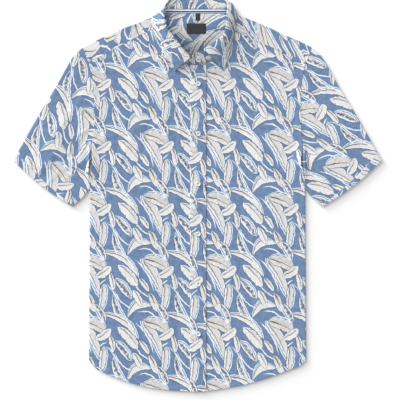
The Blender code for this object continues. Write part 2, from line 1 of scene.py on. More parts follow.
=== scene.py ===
"""The looks of a short-sleeved button-up shirt, laid flat on its back.

X runs to the wearer's left, Y from the hem to the collar and Z up from the
surface that the shirt lies on. Tables and sizes are in millimetres and become
metres through MM. Every cut piece is a thin closed shell worked out as whole
arrays of points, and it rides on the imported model's one body.
"""

from __future__ import annotations

import logging
import math
from collections.abc import Sequence
from dataclasses import dataclass
from enum import Enum
from functools import partial
from itertools import starmap
from typing import NamedTuple

import bpy
import numpy as np
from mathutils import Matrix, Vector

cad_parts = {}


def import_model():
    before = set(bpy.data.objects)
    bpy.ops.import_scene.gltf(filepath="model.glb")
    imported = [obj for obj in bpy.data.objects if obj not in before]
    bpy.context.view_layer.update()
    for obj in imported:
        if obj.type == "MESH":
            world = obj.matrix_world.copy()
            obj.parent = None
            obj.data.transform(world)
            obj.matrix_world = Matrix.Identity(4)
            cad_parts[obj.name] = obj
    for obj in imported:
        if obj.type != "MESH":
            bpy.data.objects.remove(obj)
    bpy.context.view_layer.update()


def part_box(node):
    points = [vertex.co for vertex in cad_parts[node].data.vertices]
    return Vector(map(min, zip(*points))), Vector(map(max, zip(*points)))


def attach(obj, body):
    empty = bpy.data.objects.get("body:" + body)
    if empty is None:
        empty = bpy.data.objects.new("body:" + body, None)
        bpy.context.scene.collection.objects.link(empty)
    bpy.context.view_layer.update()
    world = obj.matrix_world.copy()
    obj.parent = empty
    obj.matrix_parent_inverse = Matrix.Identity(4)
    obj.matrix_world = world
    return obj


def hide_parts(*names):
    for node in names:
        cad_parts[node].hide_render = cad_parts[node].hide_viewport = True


Array = np.ndarray
Point = tuple[float, float, float]
Line = tuple[Array, Array]    # points and the directions square to the cloth there
Socket = bpy.types.NodeSocket

LOG = logging.getLogger("shirt")
MM = 0.001
UP = np.array((0.0, 0.0, 1.0))

# ------------------------------------------------------------ shared sizes, mm
CLOTH = 1.0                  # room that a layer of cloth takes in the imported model
GAP = 0.3                    # between layers there
LAYER = CLOTH + GAP          # underside of the upper layer
UPPER = LAYER + CLOTH        # top of the upper layer
FOLD_OUT = CLOTH + GAP / 2   # outer radius of a folded edge
FINE_CLOTH = 0.55            # thickness of a single layer as it is seen
LAP_RISE = 0.65              # how far a lapped seam edge stands over its neighbour
LAP_WIDTH = 7.0              # how far in from that edge the rise fades
LAP_EDGE = (0.7, 0.22)       # radius and drop of its rounded edge
SIDE_ROLL = 2.4              # radius of the body's rolled sides
HEM_ROLL = 0.8               # radius of the rounded edge at a hem

HALF_SHOULDER = 246.0
SHOULDER_POINT_Y = 314.5
FRONT_CORNER_Y = 284.0       # where the front yoke seam meets the armhole
YOKE_SEAM_Y = 280.0          # between back and yoke
YOKE_CUT_AT = (68.0, 128.0)  # where the yoke is cut from the printed cloth
NECK_BACK_Y = 394.0
UNDERARM_Y = 11.0
FRONT_OVERLAP = 17.0
PLACKET_EDGE_X = -16.0
PLACKET_SEAM_X = 19.0
PLACKET_TOP_Y = 276.5
PLACKET_RISE = 1.3           # top of the placket over the top of the fronts
HEM_TURN = 6.0               # width of the turned hem at its full thickness
HEM_STITCH = 5.8             # from the hem to its stitches
ROPED = 9.0                  # how far up the hem's ripples reach
GROOVE = 0.9                 # half width of the groove along a line of stitches
SLEEVE_HEM_TURN = 22.0
FOLD_TURNS = np.radians(np.linspace(-90.0, 90.0, 9)[1:-1])    # points round a folded edge

# Half width of the body: y, distance of the side seam or armhole from the centre
SIDE_LINE = (
    (-357, 233), (-230, 232.4), (-100, 231.6), (UNDERARM_Y, 231.5), (60, 231), (94, 228.5),
    (120, 224.5), (150, 222), (200, 222), (255, 226.5), (FRONT_CORNER_Y, 235),
    (SHOULDER_POINT_Y, HALF_SHOULDER),
)

# Shirt-tail hem from the wearer's right side seam to the left one: x, y
HEM = (
    (-233, -357), (-221.5, -372.5), (-205, -382.5), (-177.5, -394), (-149.5, -404.5),
    (-123.5, -412), (-83, -419.5), (-40, -423.7), (0, -425.2), (20, -424), (52.5, -419),
    (95.5, -411.5), (128, -402.5), (170, -389), (197, -378.5), (221.5, -368.5), (233, -357),
)


class ArmRow(NamedTuple):
    """A row of points over an arm of the yoke, square to the shoulder."""

    back_x: float    # distance from the centre at the back seam
    fold_x: float    # at the shoulder fold
    front_x: float   # and at the front seam
    fold_y: float
    front_y: float


YOKE_RIGHT = tuple(starmap(ArmRow, (
    (80, 82, 81, 386.5, 357.5),
    (106, 109, 106, 375, 350.5),
    (132, 136, 132, 364, 337),
    (158, 164, 158, 353.5, 323.5),
    (184, 191, 183, 341.5, 309.5),
    (210, 219, 209, 328.5, 296),
    (234, HALF_SHOULDER, 235, SHOULDER_POINT_Y, FRONT_CORNER_Y),
)))
YOKE_LEFT = tuple(starmap(ArmRow, (
    (76, 76, 74, 388.5, 352),
    (103, 104, 101, 377.5, 341),
    (129, 132, 128, 366.5, 329),
    (156, 161, 154, 354, 318),
    (182, 189, 181, 340.5, 307),
    (209, 218, 208, 328.5, 295.5),
    (234, HALF_SHOULDER, 235, SHOULDER_POINT_Y, FRONT_CORNER_Y),
)))

# Back neck edge of the yoke between its two arms: x, y
BACK_NECK = (
    (-68, 393), (-48, NECK_BACK_Y), (-24, NECK_BACK_Y), (0, NECK_BACK_Y), (24, NECK_BACK_Y),
    (46, NECK_BACK_Y), (63, 393.5),
)

# Front neck edges, from the yoke seam down to the button line: x, y
NECK_RIGHT = (
    (-81, 357.5), (-72, 325), (-54, 301), (-34.5, 284), (-14, 277.5), (FRONT_OVERLAP, 277),
)
NECK_LEFT = (
    (74, 352), (66.5, 323.5), (52.5, 302), (34, 285.5), (PLACKET_SEAM_X + GAP, 278.5),
)

# Where the columns of the front panels start at the hem
RIGHT_HEM_X = (-233, -221.5, -205, -182, -157, -130, -104,
               -80, -56, -32, -8, FRONT_OVERLAP)
LEFT_HEM_X = (233, 221.5, 205, 182, 157, 130, 104,
              80, 58, 38, PLACKET_SEAM_X + GAP)

# Outer edge of a sleeve, from the shoulder point to the hem: x, y
OVERARM = (
    (HALF_SHOULDER, SHOULDER_POINT_Y), (265.5, 295.8), (282.5, 268.5), (300.5, 235.5),
    (321, 201.5), (342.5, 166), (362.5, 131.5), (380.5, 99), (396.7, 72.3),
)
# Underarm seam of a sleeve, from the armhole to the hem: x, y
UNDERARM = (
    (231.8, UNDERARM_Y), (243, -4), (255, -15.5), (269, -27),
)
SLEEVE_HEM_BOW = 6.0   # how far the sleeve hem curves out from a straight line


class Parting(NamedTuple):
    """The gap above an underarm, where the armhole seam sinks between two swells."""

    y: float          # its middle
    reach: float      # along the armhole
    draw: float       # how far the body's edge draws in
    rise: float       # and stands up
    floor: float      # width of the sleeve's low part in the gap
    wall: float       # width of the slope from there to the sleeve's swell
    swell: float      # height of that swell
    overhang: float   # how far it hangs over the gap

    def share(self, y: Array) -> Array:
        """Find how far the gap is open: 1 in its middle, fading to 0 along the armhole."""
        return bell(y - self.y, self.reach)


PARTINGS = {
    -1: Parting(66, 26, 4.4, 3.4, 2, 11, 5.8, 0),
    1: Parting(70, 30, 8.4, 4.6, 6.2, 2, 5.2, 2.8),
}


class Crease(NamedTuple):
    """A soft ridge, or a trough where rise is negative, along a bent line."""

    x: float       # its middle
    y: float
    turn: float    # direction in degrees
    reach: float   # along its direction
    width: float   # across it
    rise: float
    bend: float = 0.0    # how far its middle bows off the straight line


# Large swells and folds of the upper layer
SWELLS = tuple(starmap(Crease, (
    (-125, -60, 90, 215, 60, 1.1),
    (128, -40, 90, 215, 60, 1.1),
    (152, 176, -20, 64, 24, 0.9),
    (-140, 160, 25, 60, 24, 0.7),
    (160, -285, 78, 80, 28, 1),
    (-168, -262, 100, 80, 26, 0.9),
    (-64, -190, 95, 100, 18, 0.6),
    (72, -150, 85, 100, 18, 0.7),
    (-318, 112, -127, 66, 38, 1.5),
    (318, 112, -53, 66, 38, 1.5),
    (-280, 58, -140, 34, 12, 0.9),
    (280, 58, -40, 34, 12, 0.9),
)))

# Where the collar leaf lies under the back neck, the yoke is lifted over it
NECK_LIFT = 1.7
LIFT_FULL_Y = 384.0
LIFT_NONE_Y = 350.0
LIFT_FULL_X = 66.0
LIFT_NONE_X = 104.0


class BandRow(NamedTuple):
    """A section up the collar stand."""

    neck: Point
    fold: Point


class CollarRow(NamedTuple):
    """A section of the collar: up the stand, over the fold and down the leaf."""

    neck: Point
    fold: Point
    edge: Point
    crown_at: float     # share of the way from fold to edge where the leaf bulges
    crown_rise: float   # how far it bulges there


# From the wearer's right throat round the back to the left throat
COLLAR = tuple(starmap(CollarRow, (
    ((-15, 279.6, 3.6), (-14.8, 291, 13), (-48.4, 262.8, 5), 0.38, 2.6),
    ((-33, 286.8, 3.8), (-30.5, 309, 15.5), (-60, 279.5, 4.9), 0.38, 3.2),
    ((-52, 303.4, 4), (-47.5, 331, 17), (-71.5, 299, 4.9), 0.38, 3.6),
    ((-69.8, 326.2, 4), (-62, 349, 17.5), (-82, 323.5, 5), 0.38, 3.8),
    ((-78.6, 350, 4), (-69, 367.5, 17.5), (-91.8, 347, 5.2), 0.38, 4),
    ((-80.2, 371, 4.2), (-70.5, 385, 16), (-98.4, 374, 5), 0.38, 3.6),
    ((-77, 386, 4.2), (-68.5, 402, 12.5), (-85, 394.5, 3.6), 0.4, 3),
    ((-69, 394.6, 3.8), (-59.5, 415, 9), (-68, 411, 1.6), 0.42, 1),
    ((-54, 396, 3.5), (-48, 421, 6.8), (-51.5, 400, 0.75), 0.18, -2.2),
    ((-28, 396.2, 3.4), (-26, 422.8, 5.4), (-26, 389.5, 0.65), 0.12, -2.6),
    ((0, 396.2, 3.4), (1, 423, 5.2), (0, 387, 0.65), 0.1, -2.8),
    ((28, 396.2, 3.4), (28, 422.8, 5.4), (28, 389.5, 0.65), 0.12, -2.6),
    ((50, 396, 3.5), (50, 421, 6.8), (52, 400, 0.75), 0.18, -2),
    ((63.5, 394.8, 3.8), (60, 415, 9), (70.5, 411, 1.9), 0.42, 1.4),
    ((71, 387, 4.2), (63.5, 402, 12.5), (82.5, 393, 3.6), 0.4, 3),
    ((73.2, 371, 4.2), (63, 385, 16), (84, 374, 5), 0.38, 3.4),
    ((71.6, 349, 4), (62, 366, 17.5), (81.5, 349, 5.2), 0.38, 3.6),
    ((64.4, 325.4, 4), (57, 342, 17.5), (74.5, 323.5, 5), 0.38, 3.6),
    ((50.4, 304.4, 4), (45, 330.5, 17), (68.5, 302, 4.9), 0.38, 3.4),
    ((32.6, 288.4, 4.4), (30.5, 319.5, 16.2), (62.5, 282.5, 4.9), 0.38, 3.2),
    ((14, 281, 5.2), (14, 308.5, 15.4), (57, 262.8, 5), 0.36, 2.6),
)))
# The stand runs on past the leaf at the throat. Its right end passes under
# the left end, which carries the buttonhole.
STAND_UNDER = (
    BandRow((11, 280, 2.4), (10.5, 287, 4.6)),
    BandRow((-2, 279.8, 2.5), (-2.4, 288.2, 6.4)),
)
STAND_TAB = (
    BandRow((-1, 278.6, 5.7), (-1, 301, 15.4)),
    BandRow((-11.6, 278.2, 6.4), (-11.8, 293.5, 16.6)),
)
LEAF_SEAM_DROP = 2.6   # from the fold down to the seam between leaf and stand
SEAM_GAP = 0.65        # between the top of the stand and the leaf
LEAF_TURN = 7.0        # length of the tangent that carries the leaf over the fold

BUTTON_X = 2.0
BUTTON_TOP_Y = 236.0
BUTTON_PITCH = 107.4
BUTTON_COUNT = 6
HALF_BUTTON = 1.1     # half the thickness of a packed button
HOLE_DROP = 1.2       # how far a buttonhole's middle lies below its button's


# Creases of the upper layer of the body, in addition to the swells
BODY_CREASES = tuple(starmap(Crease, (
    (-205, 62, 12, 26, 5, 0.95, 3),
    (-198, 88, -8, 30, 5.5, -0.75, -3),
    (-192, 118, 24, 38, 6.5, 1, 4),
    (-204, 152, 35, 24, 5, -0.6, 2),
    (-196, 205, 52, 34, 7, 0.75, 3),
    (-150, 92, 62, 70, 9, 0.85, 7),
    (-112, 128, 78, 82, 11, -0.95, -6),
    (-66, 170, 96, 74, 9, 0.75, 5),
    (-44, 40, 88, 96, 8, 0.85, -4),
    (-88, -48, 97, 88, 10, -0.85, 6),
    (-158, -92, 84, 104, 11, 1, -8),
    (-196, -168, 93, 84, 8, -0.75, 5),
    (-114, -238, 101, 92, 9.5, 1, 7),
    (-46, -292, 93, 66, 7.5, -0.75, -4),
    (-176, -334, 112, 38, 7, 0.85, 3),
    (-84, -366, 84, 34, 6.5, 0.75, 2),
    (207, 58, 168, 28, 5, 0.95, -3),
    (196, 82, 186, 32, 5.5, -0.85, 3),
    (190, 112, 154, 40, 6.5, 1.1, -4),
    (201, 168, 140, 26, 5, -0.6, -3),
    (184, 226, 126, 36, 7, 0.75, -3),
    (140, 74, 118, 76, 9, 0.85, -7),
    (98, 156, 100, 88, 10, -0.85, 6),
    (58, 206, 84, 56, 8, 0.7, -4),
    (50, 66, 92, 80, 8.5, 0.75, 5),
    (92, -22, 84, 96, 10, -0.75, -6),
    (170, -74, 97, 92, 10.5, 1, 8),
    (202, -206, 86, 76, 8, -0.75, -4),
    (126, -222, 79, 98, 9.5, 1, -6),
    (62, -306, 88, 62, 7.5, -0.75, 5),
    (196, -330, 70, 36, 7, 0.75, -3),
    (104, -372, 98, 32, 6.5, 0.75, 2),
    (-10, 182, 84, 36, 7, 0.6, 2),
    (-8, 74, 97, 32, 7, -0.5, -2),
    (-11, -34, 86, 40, 7.5, 0.6, 3),
    (-6, -142, 95, 34, 7, -0.5, -2),
    (-10, -250, 88, 38, 7, 0.6, 2),
)))
# Creases of the upper layer of the sleeve on the wearer's left
SLEEVE_CREASES = tuple(starmap(Crease, (
    (252, 60, -38, 30, 6, 1.6, 3),
    (262, 96, -52, 46, 7, -1.2, -4),
    (286, 150, -58, 66, 9, 1.4, 5),
    (264, 208, -64, 52, 8, -0.9, -4),
    (322, 72, -52, 44, 8, 1.3, -4),
    (348, 106, -56, 40, 8, -0.9, 3),
    (296, 32, -44, 26, 6, -1, 2),
    (244, 132, -20, 16, 5, 0.9, 1),
    (243, 178, 8, 15, 5, 0.8, 1),
    (248, 226, 16, 16, 5, 0.8, 1),
)))
# Creases of the back, which arches a little off the surface
BACK_CREASES = tuple(starmap(Crease, (
    (-150, 40, 80, 90, 12, 0.35, 6),
    (-60, -120, 96, 130, 14, 0.4, -7),
    (46, 90, 88, 110, 12, 0.35, 6),
    (120, -200, 82, 100, 13, 0.4, -6),
    (178, 60, 104, 70, 10, 0.35, 4),
    (-170, -260, 98, 80, 11, 0.4, 5),
)))


# ---------------------------------------------------------------- curves and relief
def smoothstep(share: Array) -> Array:
    """Ease from 0 to 1 with level ends: 3·s² − 2·s³ of the share held between 0 and 1."""
    share = np.clip(share, 0.0, 1.0)
    return share * share * (3.0 - 2.0 * share)


def hermite(start: Array, leave: Array, end: Array, arrive: Array, share: Array) -> Array:
    """Find points on the curve between two points with given tangents.

    Args:
        start: First point.
        leave: Tangent at the first point.
        end: Last point.
        arrive: Tangent at the last point.
        share: Share of the way between them.

    Returns:
        The points of the cubic.
    """
    rest = 1.0 - share
    return (start * (1.0 + 2.0 * share) * rest ** 2 + leave * share * rest ** 2
            + end * share ** 2 * (3.0 - 2.0 * share) - arrive * share ** 2 * rest)


def through(table: Sequence[Sequence[float]], at: Array) -> Array:
    """Read a smooth curve through a table's (position, value) rows.

    Args:
        table: Rows of position and value, with rising positions.
        at: Positions to read.

    Returns:
        The values there. The curve is level where the table turns back.
    """
    rows = np.asarray(table, float)
    known, value = rows[:, 0], rows[:, 1]
    at = np.clip(np.asarray(at, float), known[0], known[-1])
    step = np.diff(known)
    slope = np.diff(value) / step
    tangent = np.concatenate((slope[:1], (slope[1:] + slope[:-1]) / 2, slope[-1:]))
    turning = np.concatenate(([False], slope[1:] * slope[:-1] <= 0, [False]))
    tangent[turning] = 0.0
    row = np.clip(np.searchsorted(known, at, side="right") - 1, 0, len(step) - 1)
    share = (at - known[row]) / step[row]
    return hermite(value[row], tangent[row] * step[row],
                   value[row + 1], tangent[row + 1] * step[row], share)


def along(rows: Array, at: Array) -> Array:
    """Carry whole rows smoothly from one to the next.

    Args:
        rows: A table, one row for each station.
        at: Fractional row numbers.

    Returns:
        One row of values for each number.
    """
    rows = np.asarray(rows, float)
    at = np.asarray(at, float)
    low = np.clip(at.astype(int), 0, len(rows) - 2)
    share = (at - low)[:, None]
    before, after = rows[np.maximum(low - 1, 0)], rows[np.minimum(low + 2, len(rows) - 1)]
    start, end = rows[low], rows[low + 1]
    return hermite(start, (end - before) / 2, end, (after - start) / 2, share)


def unit(vectors: Array) -> Array:
    """Bring the vectors along the last axis to length one."""
    length = np.linalg.norm(vectors, axis=-1, keepdims=True)
    return vectors / np.maximum(length, 1e-12)


def spaced(length: float, step: float, edge: Sequence[float] = (0.25, 0.7, 1.5, 2.8)) -> Array:
    """Space stations evenly, with closer ones near both ends for a rounded edge.

    Args:
        length: Whole length.
        step: Longest distance between stations.
        edge: Distances of the close stations from each end.

    Returns:
        Rising distances from 0 to length.
    """
    close = np.asarray(edge, float)
    count = max(2, math.ceil((length - 2.0 * close[-1]) / step) + 1)
    middle = np.linspace(close[-1], length - close[-1], count)
    return np.concatenate(([0.0], close[:-1], middle, length - close[-2::-1], [length]))


def ridges(table: Sequence[Crease], x: Array, y: Array) -> Array:
    """Add up soft ridges, each a bell across its line and along it.

    Args:
        table: The creases.
        x: Places across the shirt.
        y: Places along it.

    Returns:
        Height of all of them together: the sum of
        rise · exp(−(run / reach)² − (off / width)²).
    """
    height = np.zeros(np.broadcast(x, y).shape)
    for fold in table:
        cos, sin = math.cos(math.radians(fold.turn)), math.sin(math.radians(fold.turn))
        run = ((x - fold.x) * cos + (y - fold.y) * sin) / fold.reach
        off = (y - fold.y) * cos - (x - fold.x) * sin
        off = off - fold.bend * (1.0 - run * run)
        height = height + fold.rise * np.exp(-run * run - (off / fold.width) ** 2)
    return height


def neck_lift(x: Array, y: Array) -> Array:
    """Find how far the yoke is lifted over the collar leaf under the back neck.

    Args:
        x: Places across the shirt.
        y: Places along it.

    Returns:
        The lift, which fades out down the back and towards the shoulders.
    """
    up = smoothstep((y - LIFT_NONE_Y) / (LIFT_FULL_Y - LIFT_NONE_Y))
    out = smoothstep((np.abs(x) - LIFT_FULL_X) / (LIFT_NONE_X - LIFT_FULL_X))
    return NECK_LIFT * up * (1.0 - out)


def drape(x: Array, y: Array) -> Array:
    """Find the relief of the upper layer of the body, shared by all that lies on it."""
    return neck_lift(x, y) + ridges(SWELLS, x, y) + ridges(BODY_CREASES, x, y)


def side_line(y: Array) -> Array:
    """Find the distance of the side seam or the armhole from the centre."""
    return through(SIDE_LINE, y)


def rolled(distance: Array, radius: float, drop: float) -> Array:
    """Find the drop of a rounded edge: drop · (1 − √(1 − (1 − distance / radius)²))."""
    rest = 1.0 - np.clip(distance / radius, 0.0, 1.0)
    return drop * (1.0 - np.sqrt(1.0 - rest * rest))


def near(distance: Array, width: float) -> Array:
    """Fade from 1 at an edge to 0 a width away from it."""
    return 1.0 - smoothstep(distance / width)


def bell(distance: Array, width: float | Array) -> Array:
    """Fade from 1 on a line to both sides: exp(−(distance / width)²)."""
    return np.exp(-(distance / width) ** 2)


def join(*places: Array) -> Array:
    """Join places along X, Y and maybe Z into points along the last axis."""
    return np.stack(np.broadcast_arrays(*places), axis=-1)


def measured(points: Array) -> Array:
    """Measure how far along its column each point is from the first row.

    Args:
        points: A line or a grid of points.

    Returns:
        The lengths of the steps, added up.
    """
    step = np.linalg.norm(np.diff(points, axis=0), axis=-1)
    return np.concatenate((np.zeros_like(step[:1]), np.cumsum(step, axis=0)))


def reached(distance: Array, goal: float) -> Array:
    """Find at which fractional row each column of rising distances reaches a goal."""
    return np.array([np.interp(goal, column, np.arange(len(column))) for column in distance.T])


# ---------------------------------------------------------------- meshes
def add_piece(name: str, points: Array, faces: Array, grain: Array | None = None,
              wrong: Array | None = None, smooth: bool = True) -> bpy.types.Object:
    """Put points and four-sided faces into the scene as one mesh object.

    Args:
        name: Name of the piece.
        points: Points in millimetres.
        faces: Point numbers, four for each face.
        grain: Place of each point on the flat cloth in millimetres, if it has one.
        wrong: How far each point is on the wrong side of the cloth.
        smooth: Whether it is shaded smooth.

    Returns:
        The object, at the origin.
    """
    mesh = bpy.data.meshes.new(name)
    mesh.from_pydata((points * MM).tolist(), [], faces.tolist())
    mesh.polygons.foreach_set("use_smooth", np.full(len(faces), smooth))
    if grain is not None:
        corners = np.empty(len(mesh.loops), np.int32)
        mesh.loops.foreach_get("vertex_index", corners)
        layer = mesh.uv_layers.new(name="grain")
        layer.data.foreach_set("uv", (grain[corners] * MM).ravel())
    if wrong is not None:
        side = mesh.attributes.new("wrong_side", "FLOAT", "POINT")
        side.data.foreach_set("value", wrong)
    mesh.update()
    piece = bpy.data.objects.new(name, mesh)
    bpy.context.scene.collection.objects.link(piece)
    return piece


def close_wall(outer: Array, inner: Array, quads: Array) -> tuple[Array, Array, Array]:
    """Join two matching faces of cloth by a rim into one closed shell.

    Args:
        outer: Points of one face.
        inner: The matching points of the other.
        quads: Faces as point numbers, the same for both.

    Returns:
        The points in use, the faces, which look outwards, and which points are in use.
    """
    count = len(outer)
    start = quads.ravel()
    end = np.roll(quads, -1, axis=1).ravel()
    lone = ~np.isin(start * count + end, end * count + start)
    start, end = start[lone], end[lone]
    rim = np.stack((end, start, start + count, end + count), axis=1)
    faces = np.concatenate((quads, quads[:, ::-1] + count, rim))
    points = np.concatenate((outer, inner))
    first, second, third, fourth = points[faces.T]
    twice_area = np.cross(third - first, fourth - second)
    if np.sum(first * twice_area) < 0.0:
        faces = faces[:, ::-1]
    used = np.zeros(len(points), bool)
    used[faces] = True
    renumber = np.cumsum(used) - 1
    return points[used], renumber[faces], used


@dataclass
class Sheet:
    """A grid of points over one face of a cut piece, with its thickness.

    Attributes:
        top: Points of the outer face, rows by columns.
        grain: Their places on the flat cloth.
        thickness: Thickness of the cloth at each point.
        cells: Which cells of the grid hold cloth, or None for all.
        tube: Whether the last column joins the first.
        level: Whether the inner face lies straight below, and not square to it.
        flip: Whether the inner face is on the other side.
        wrong: How far its outer and inner faces are the wrong side of the cloth.
    """

    top: Array
    grain: Array
    thickness: Array
    cells: Array | None = None
    tube: bool = False
    level: bool = False
    flip: bool = False
    wrong: tuple[float, float] = (0.0, 1.0)

    def normals(self) -> Array:
        """Find a unit vector square to the face at each point."""
        if self.tube:
            wide = np.concatenate((self.top[:, -1:], self.top, self.top[:, :1]), axis=1)
            over = (wide[:, 2:] - wide[:, :-2]) / 2
        else:
            over = np.gradient(self.top, axis=1)
        square = unit(np.cross(over, np.gradient(self.top, axis=0)))
        return -square if self.flip else square

    def inner(self) -> Array:
        """Find the inner face, a grid of points one thickness away."""
        offset = np.broadcast_to(self.thickness, self.top.shape[:2])[..., None]
        if self.level:
            return self.top - offset * UP
        return self.top - offset * self.normals()

    def quads(self) -> Array:
        """List the cells that hold cloth.

        Returns:
            Four point numbers for each.
        """
        rows, columns = self.top.shape[:2]
        across = columns if self.tube else columns - 1
        cells = np.ones((rows - 1, across), bool) if self.cells is None else self.cells
        row, column = np.nonzero(cells)
        beside = (column + 1) % columns
        return np.stack((row * columns + column, row * columns + beside,
                         (row + 1) * columns + beside, (row + 1) * columns + column), axis=1)

    def area(self) -> float:
        """Measure the cloth.

        Returns:
            Area of the outer face in square metres.
        """
        first, second, third, fourth = self.top.reshape(-1, 3)[self.quads().T]
        cross = np.cross(third - first, fourth - second)
        return float(np.linalg.norm(cross, axis=1).sum() / 2.0 * MM * MM)

    def at(self, row: Array, column: Array) -> tuple[Array, Array]:
        """Read places on the outer face between the points of the grid.

        Args:
            row: Fractional row numbers.
            column: Fractional column numbers.

        Returns:
            The points and the directions square to the face.
        """
        rows, columns = self.top.shape[:2]
        low = np.clip(row.astype(int), 0, rows - 2)
        left = np.clip(column.astype(int), 0, columns - 2)
        up, over = (row - low)[:, None], (column - left)[:, None]

        def blend(grid: Array) -> Array:
            """Read a grid between its four nearest points."""
            near_side = grid[low, left] * (1 - over) + grid[low, left + 1] * over
            far_side = grid[low + 1, left] * (1 - over) + grid[low + 1, left + 1] * over
            return near_side * (1 - up) + far_side * up

        return blend(self.top), unit(blend(self.normals()))

    def build(self, name: str) -> bpy.types.Object:
        """Make the closed shell.

        Args:
            name: Name of the piece.

        Returns:
            The object.
        """
        outer, inner = self.top.reshape(-1, 3), self.inner().reshape(-1, 3)
        points, faces, used = close_wall(outer, inner, self.quads())
        flat = self.grain.reshape(-1, 2)
        grain = np.concatenate((flat, flat))[used]
        wrong = np.repeat(self.wrong, len(outer))[used]
        return add_piece(name, points, faces, grain, wrong)


# ---------------------------------------------------------------- cut pieces
class Slot(Enum):
    """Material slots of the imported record."""

    COTTON = "printed_cotton"
    INSIDE = "print_inside"
    TAPE = "tape"
    LABEL = "label"
    BUTTON = "button"


def register(piece: bpy.types.Object, slot: Slot, material: bpy.types.Material,
             *nodes: str) -> bpy.types.Object:
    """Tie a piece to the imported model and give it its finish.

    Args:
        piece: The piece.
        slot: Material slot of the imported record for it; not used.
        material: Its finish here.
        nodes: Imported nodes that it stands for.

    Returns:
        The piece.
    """
    piece.data.materials.append(material)
    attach(piece, "root")
    if nodes:
        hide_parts(*nodes)
    LOG.info("%s: %d faces", piece.name, len(piece.data.polygons))
    return piece


@dataclass(frozen=True)
class Seamstress:
    """Rows of stitches: lens-shaped bits of thread laid on a sheet.

    Attributes:
        pitch: From the start of a stitch to the next.
        length: Length of a stitch.
        width: Its width.
        sink: How deep its ends lie under the cloth's face.
        rise: How far its middle stands over it.
    """

    pitch: float = 3.0
    length: float = 2.1
    width: float = 0.42
    sink: float = 0.12
    rise: float = 0.14

    def row(self, place: Array, normal: Array) -> tuple[Array, Array]:
        """Lay stitches along a line.

        Args:
            place: Points of the line on the cloth.
            normal: Directions square to the cloth there.

        Returns:
            The points of all stitches, twelve for each, and their faces.
        """
        run = measured(place)
        count = max(1, int(run[-1] / self.pitch))
        start = (np.arange(count) + 0.2) * run[-1] / count

        def read(grid: Array, at: Array) -> Array:
            """Read the line at distances along it."""
            return np.stack([np.interp(at, run, grid[:, axis]) for axis in range(3)], axis=-1)

        begin, end = read(place, start), read(place, start + self.length)
        up = unit(read(normal, start + self.length / 2))
        forward = unit(end - begin)
        aside = np.cross(up, forward)
        rings = []
        for share, girth, height in ((0.0, 0.35, -self.sink), (0.5, 1.0, self.rise),
                                     (1.0, 0.35, -self.sink)):
            centre = begin + (end - begin) * share + up * (height - self.width * girth / 2)
            reach, tall = aside * self.width * girth / 2, up * self.width * girth / 2
            rings.append(np.stack((centre + reach, centre + tall, centre - reach,
                                   centre - tall), axis=1))
        points = np.stack(rings, axis=1).reshape(-1, 3)
        ring = np.arange(4)
        beside = (ring + 1) % 4
        sides = np.concatenate([np.stack((ring + low, ring + low + 4, beside + low + 4,
                                          beside + low), axis=1) for low in (0, 4)])
        one = np.concatenate((sides, [[0, 1, 2, 3], [11, 10, 9, 8]]))
        faces = (one[None] + 12 * np.arange(count)[:, None, None]).reshape(-1, 4)
        return points, faces

    def sew(self, name: str, lines: Sequence[Line]) -> bpy.types.Object:
        """Make one piece of several rows of stitches."""
        return add_piece(name, *gather([self.row(*line) for line in lines]))


def hem_stitches(sheet: Sheet) -> Line:
    """Find the line of stitches along the hem of a body panel.

    Args:
        sheet: The panel's face.

    Returns:
        Its points and normals.
    """
    y = sheet.top[:, :, 1]
    column = np.arange(2, y.shape[1] - 2)
    return sheet.at(reached((y - y[0])[:, column], HEM_STITCH), column)


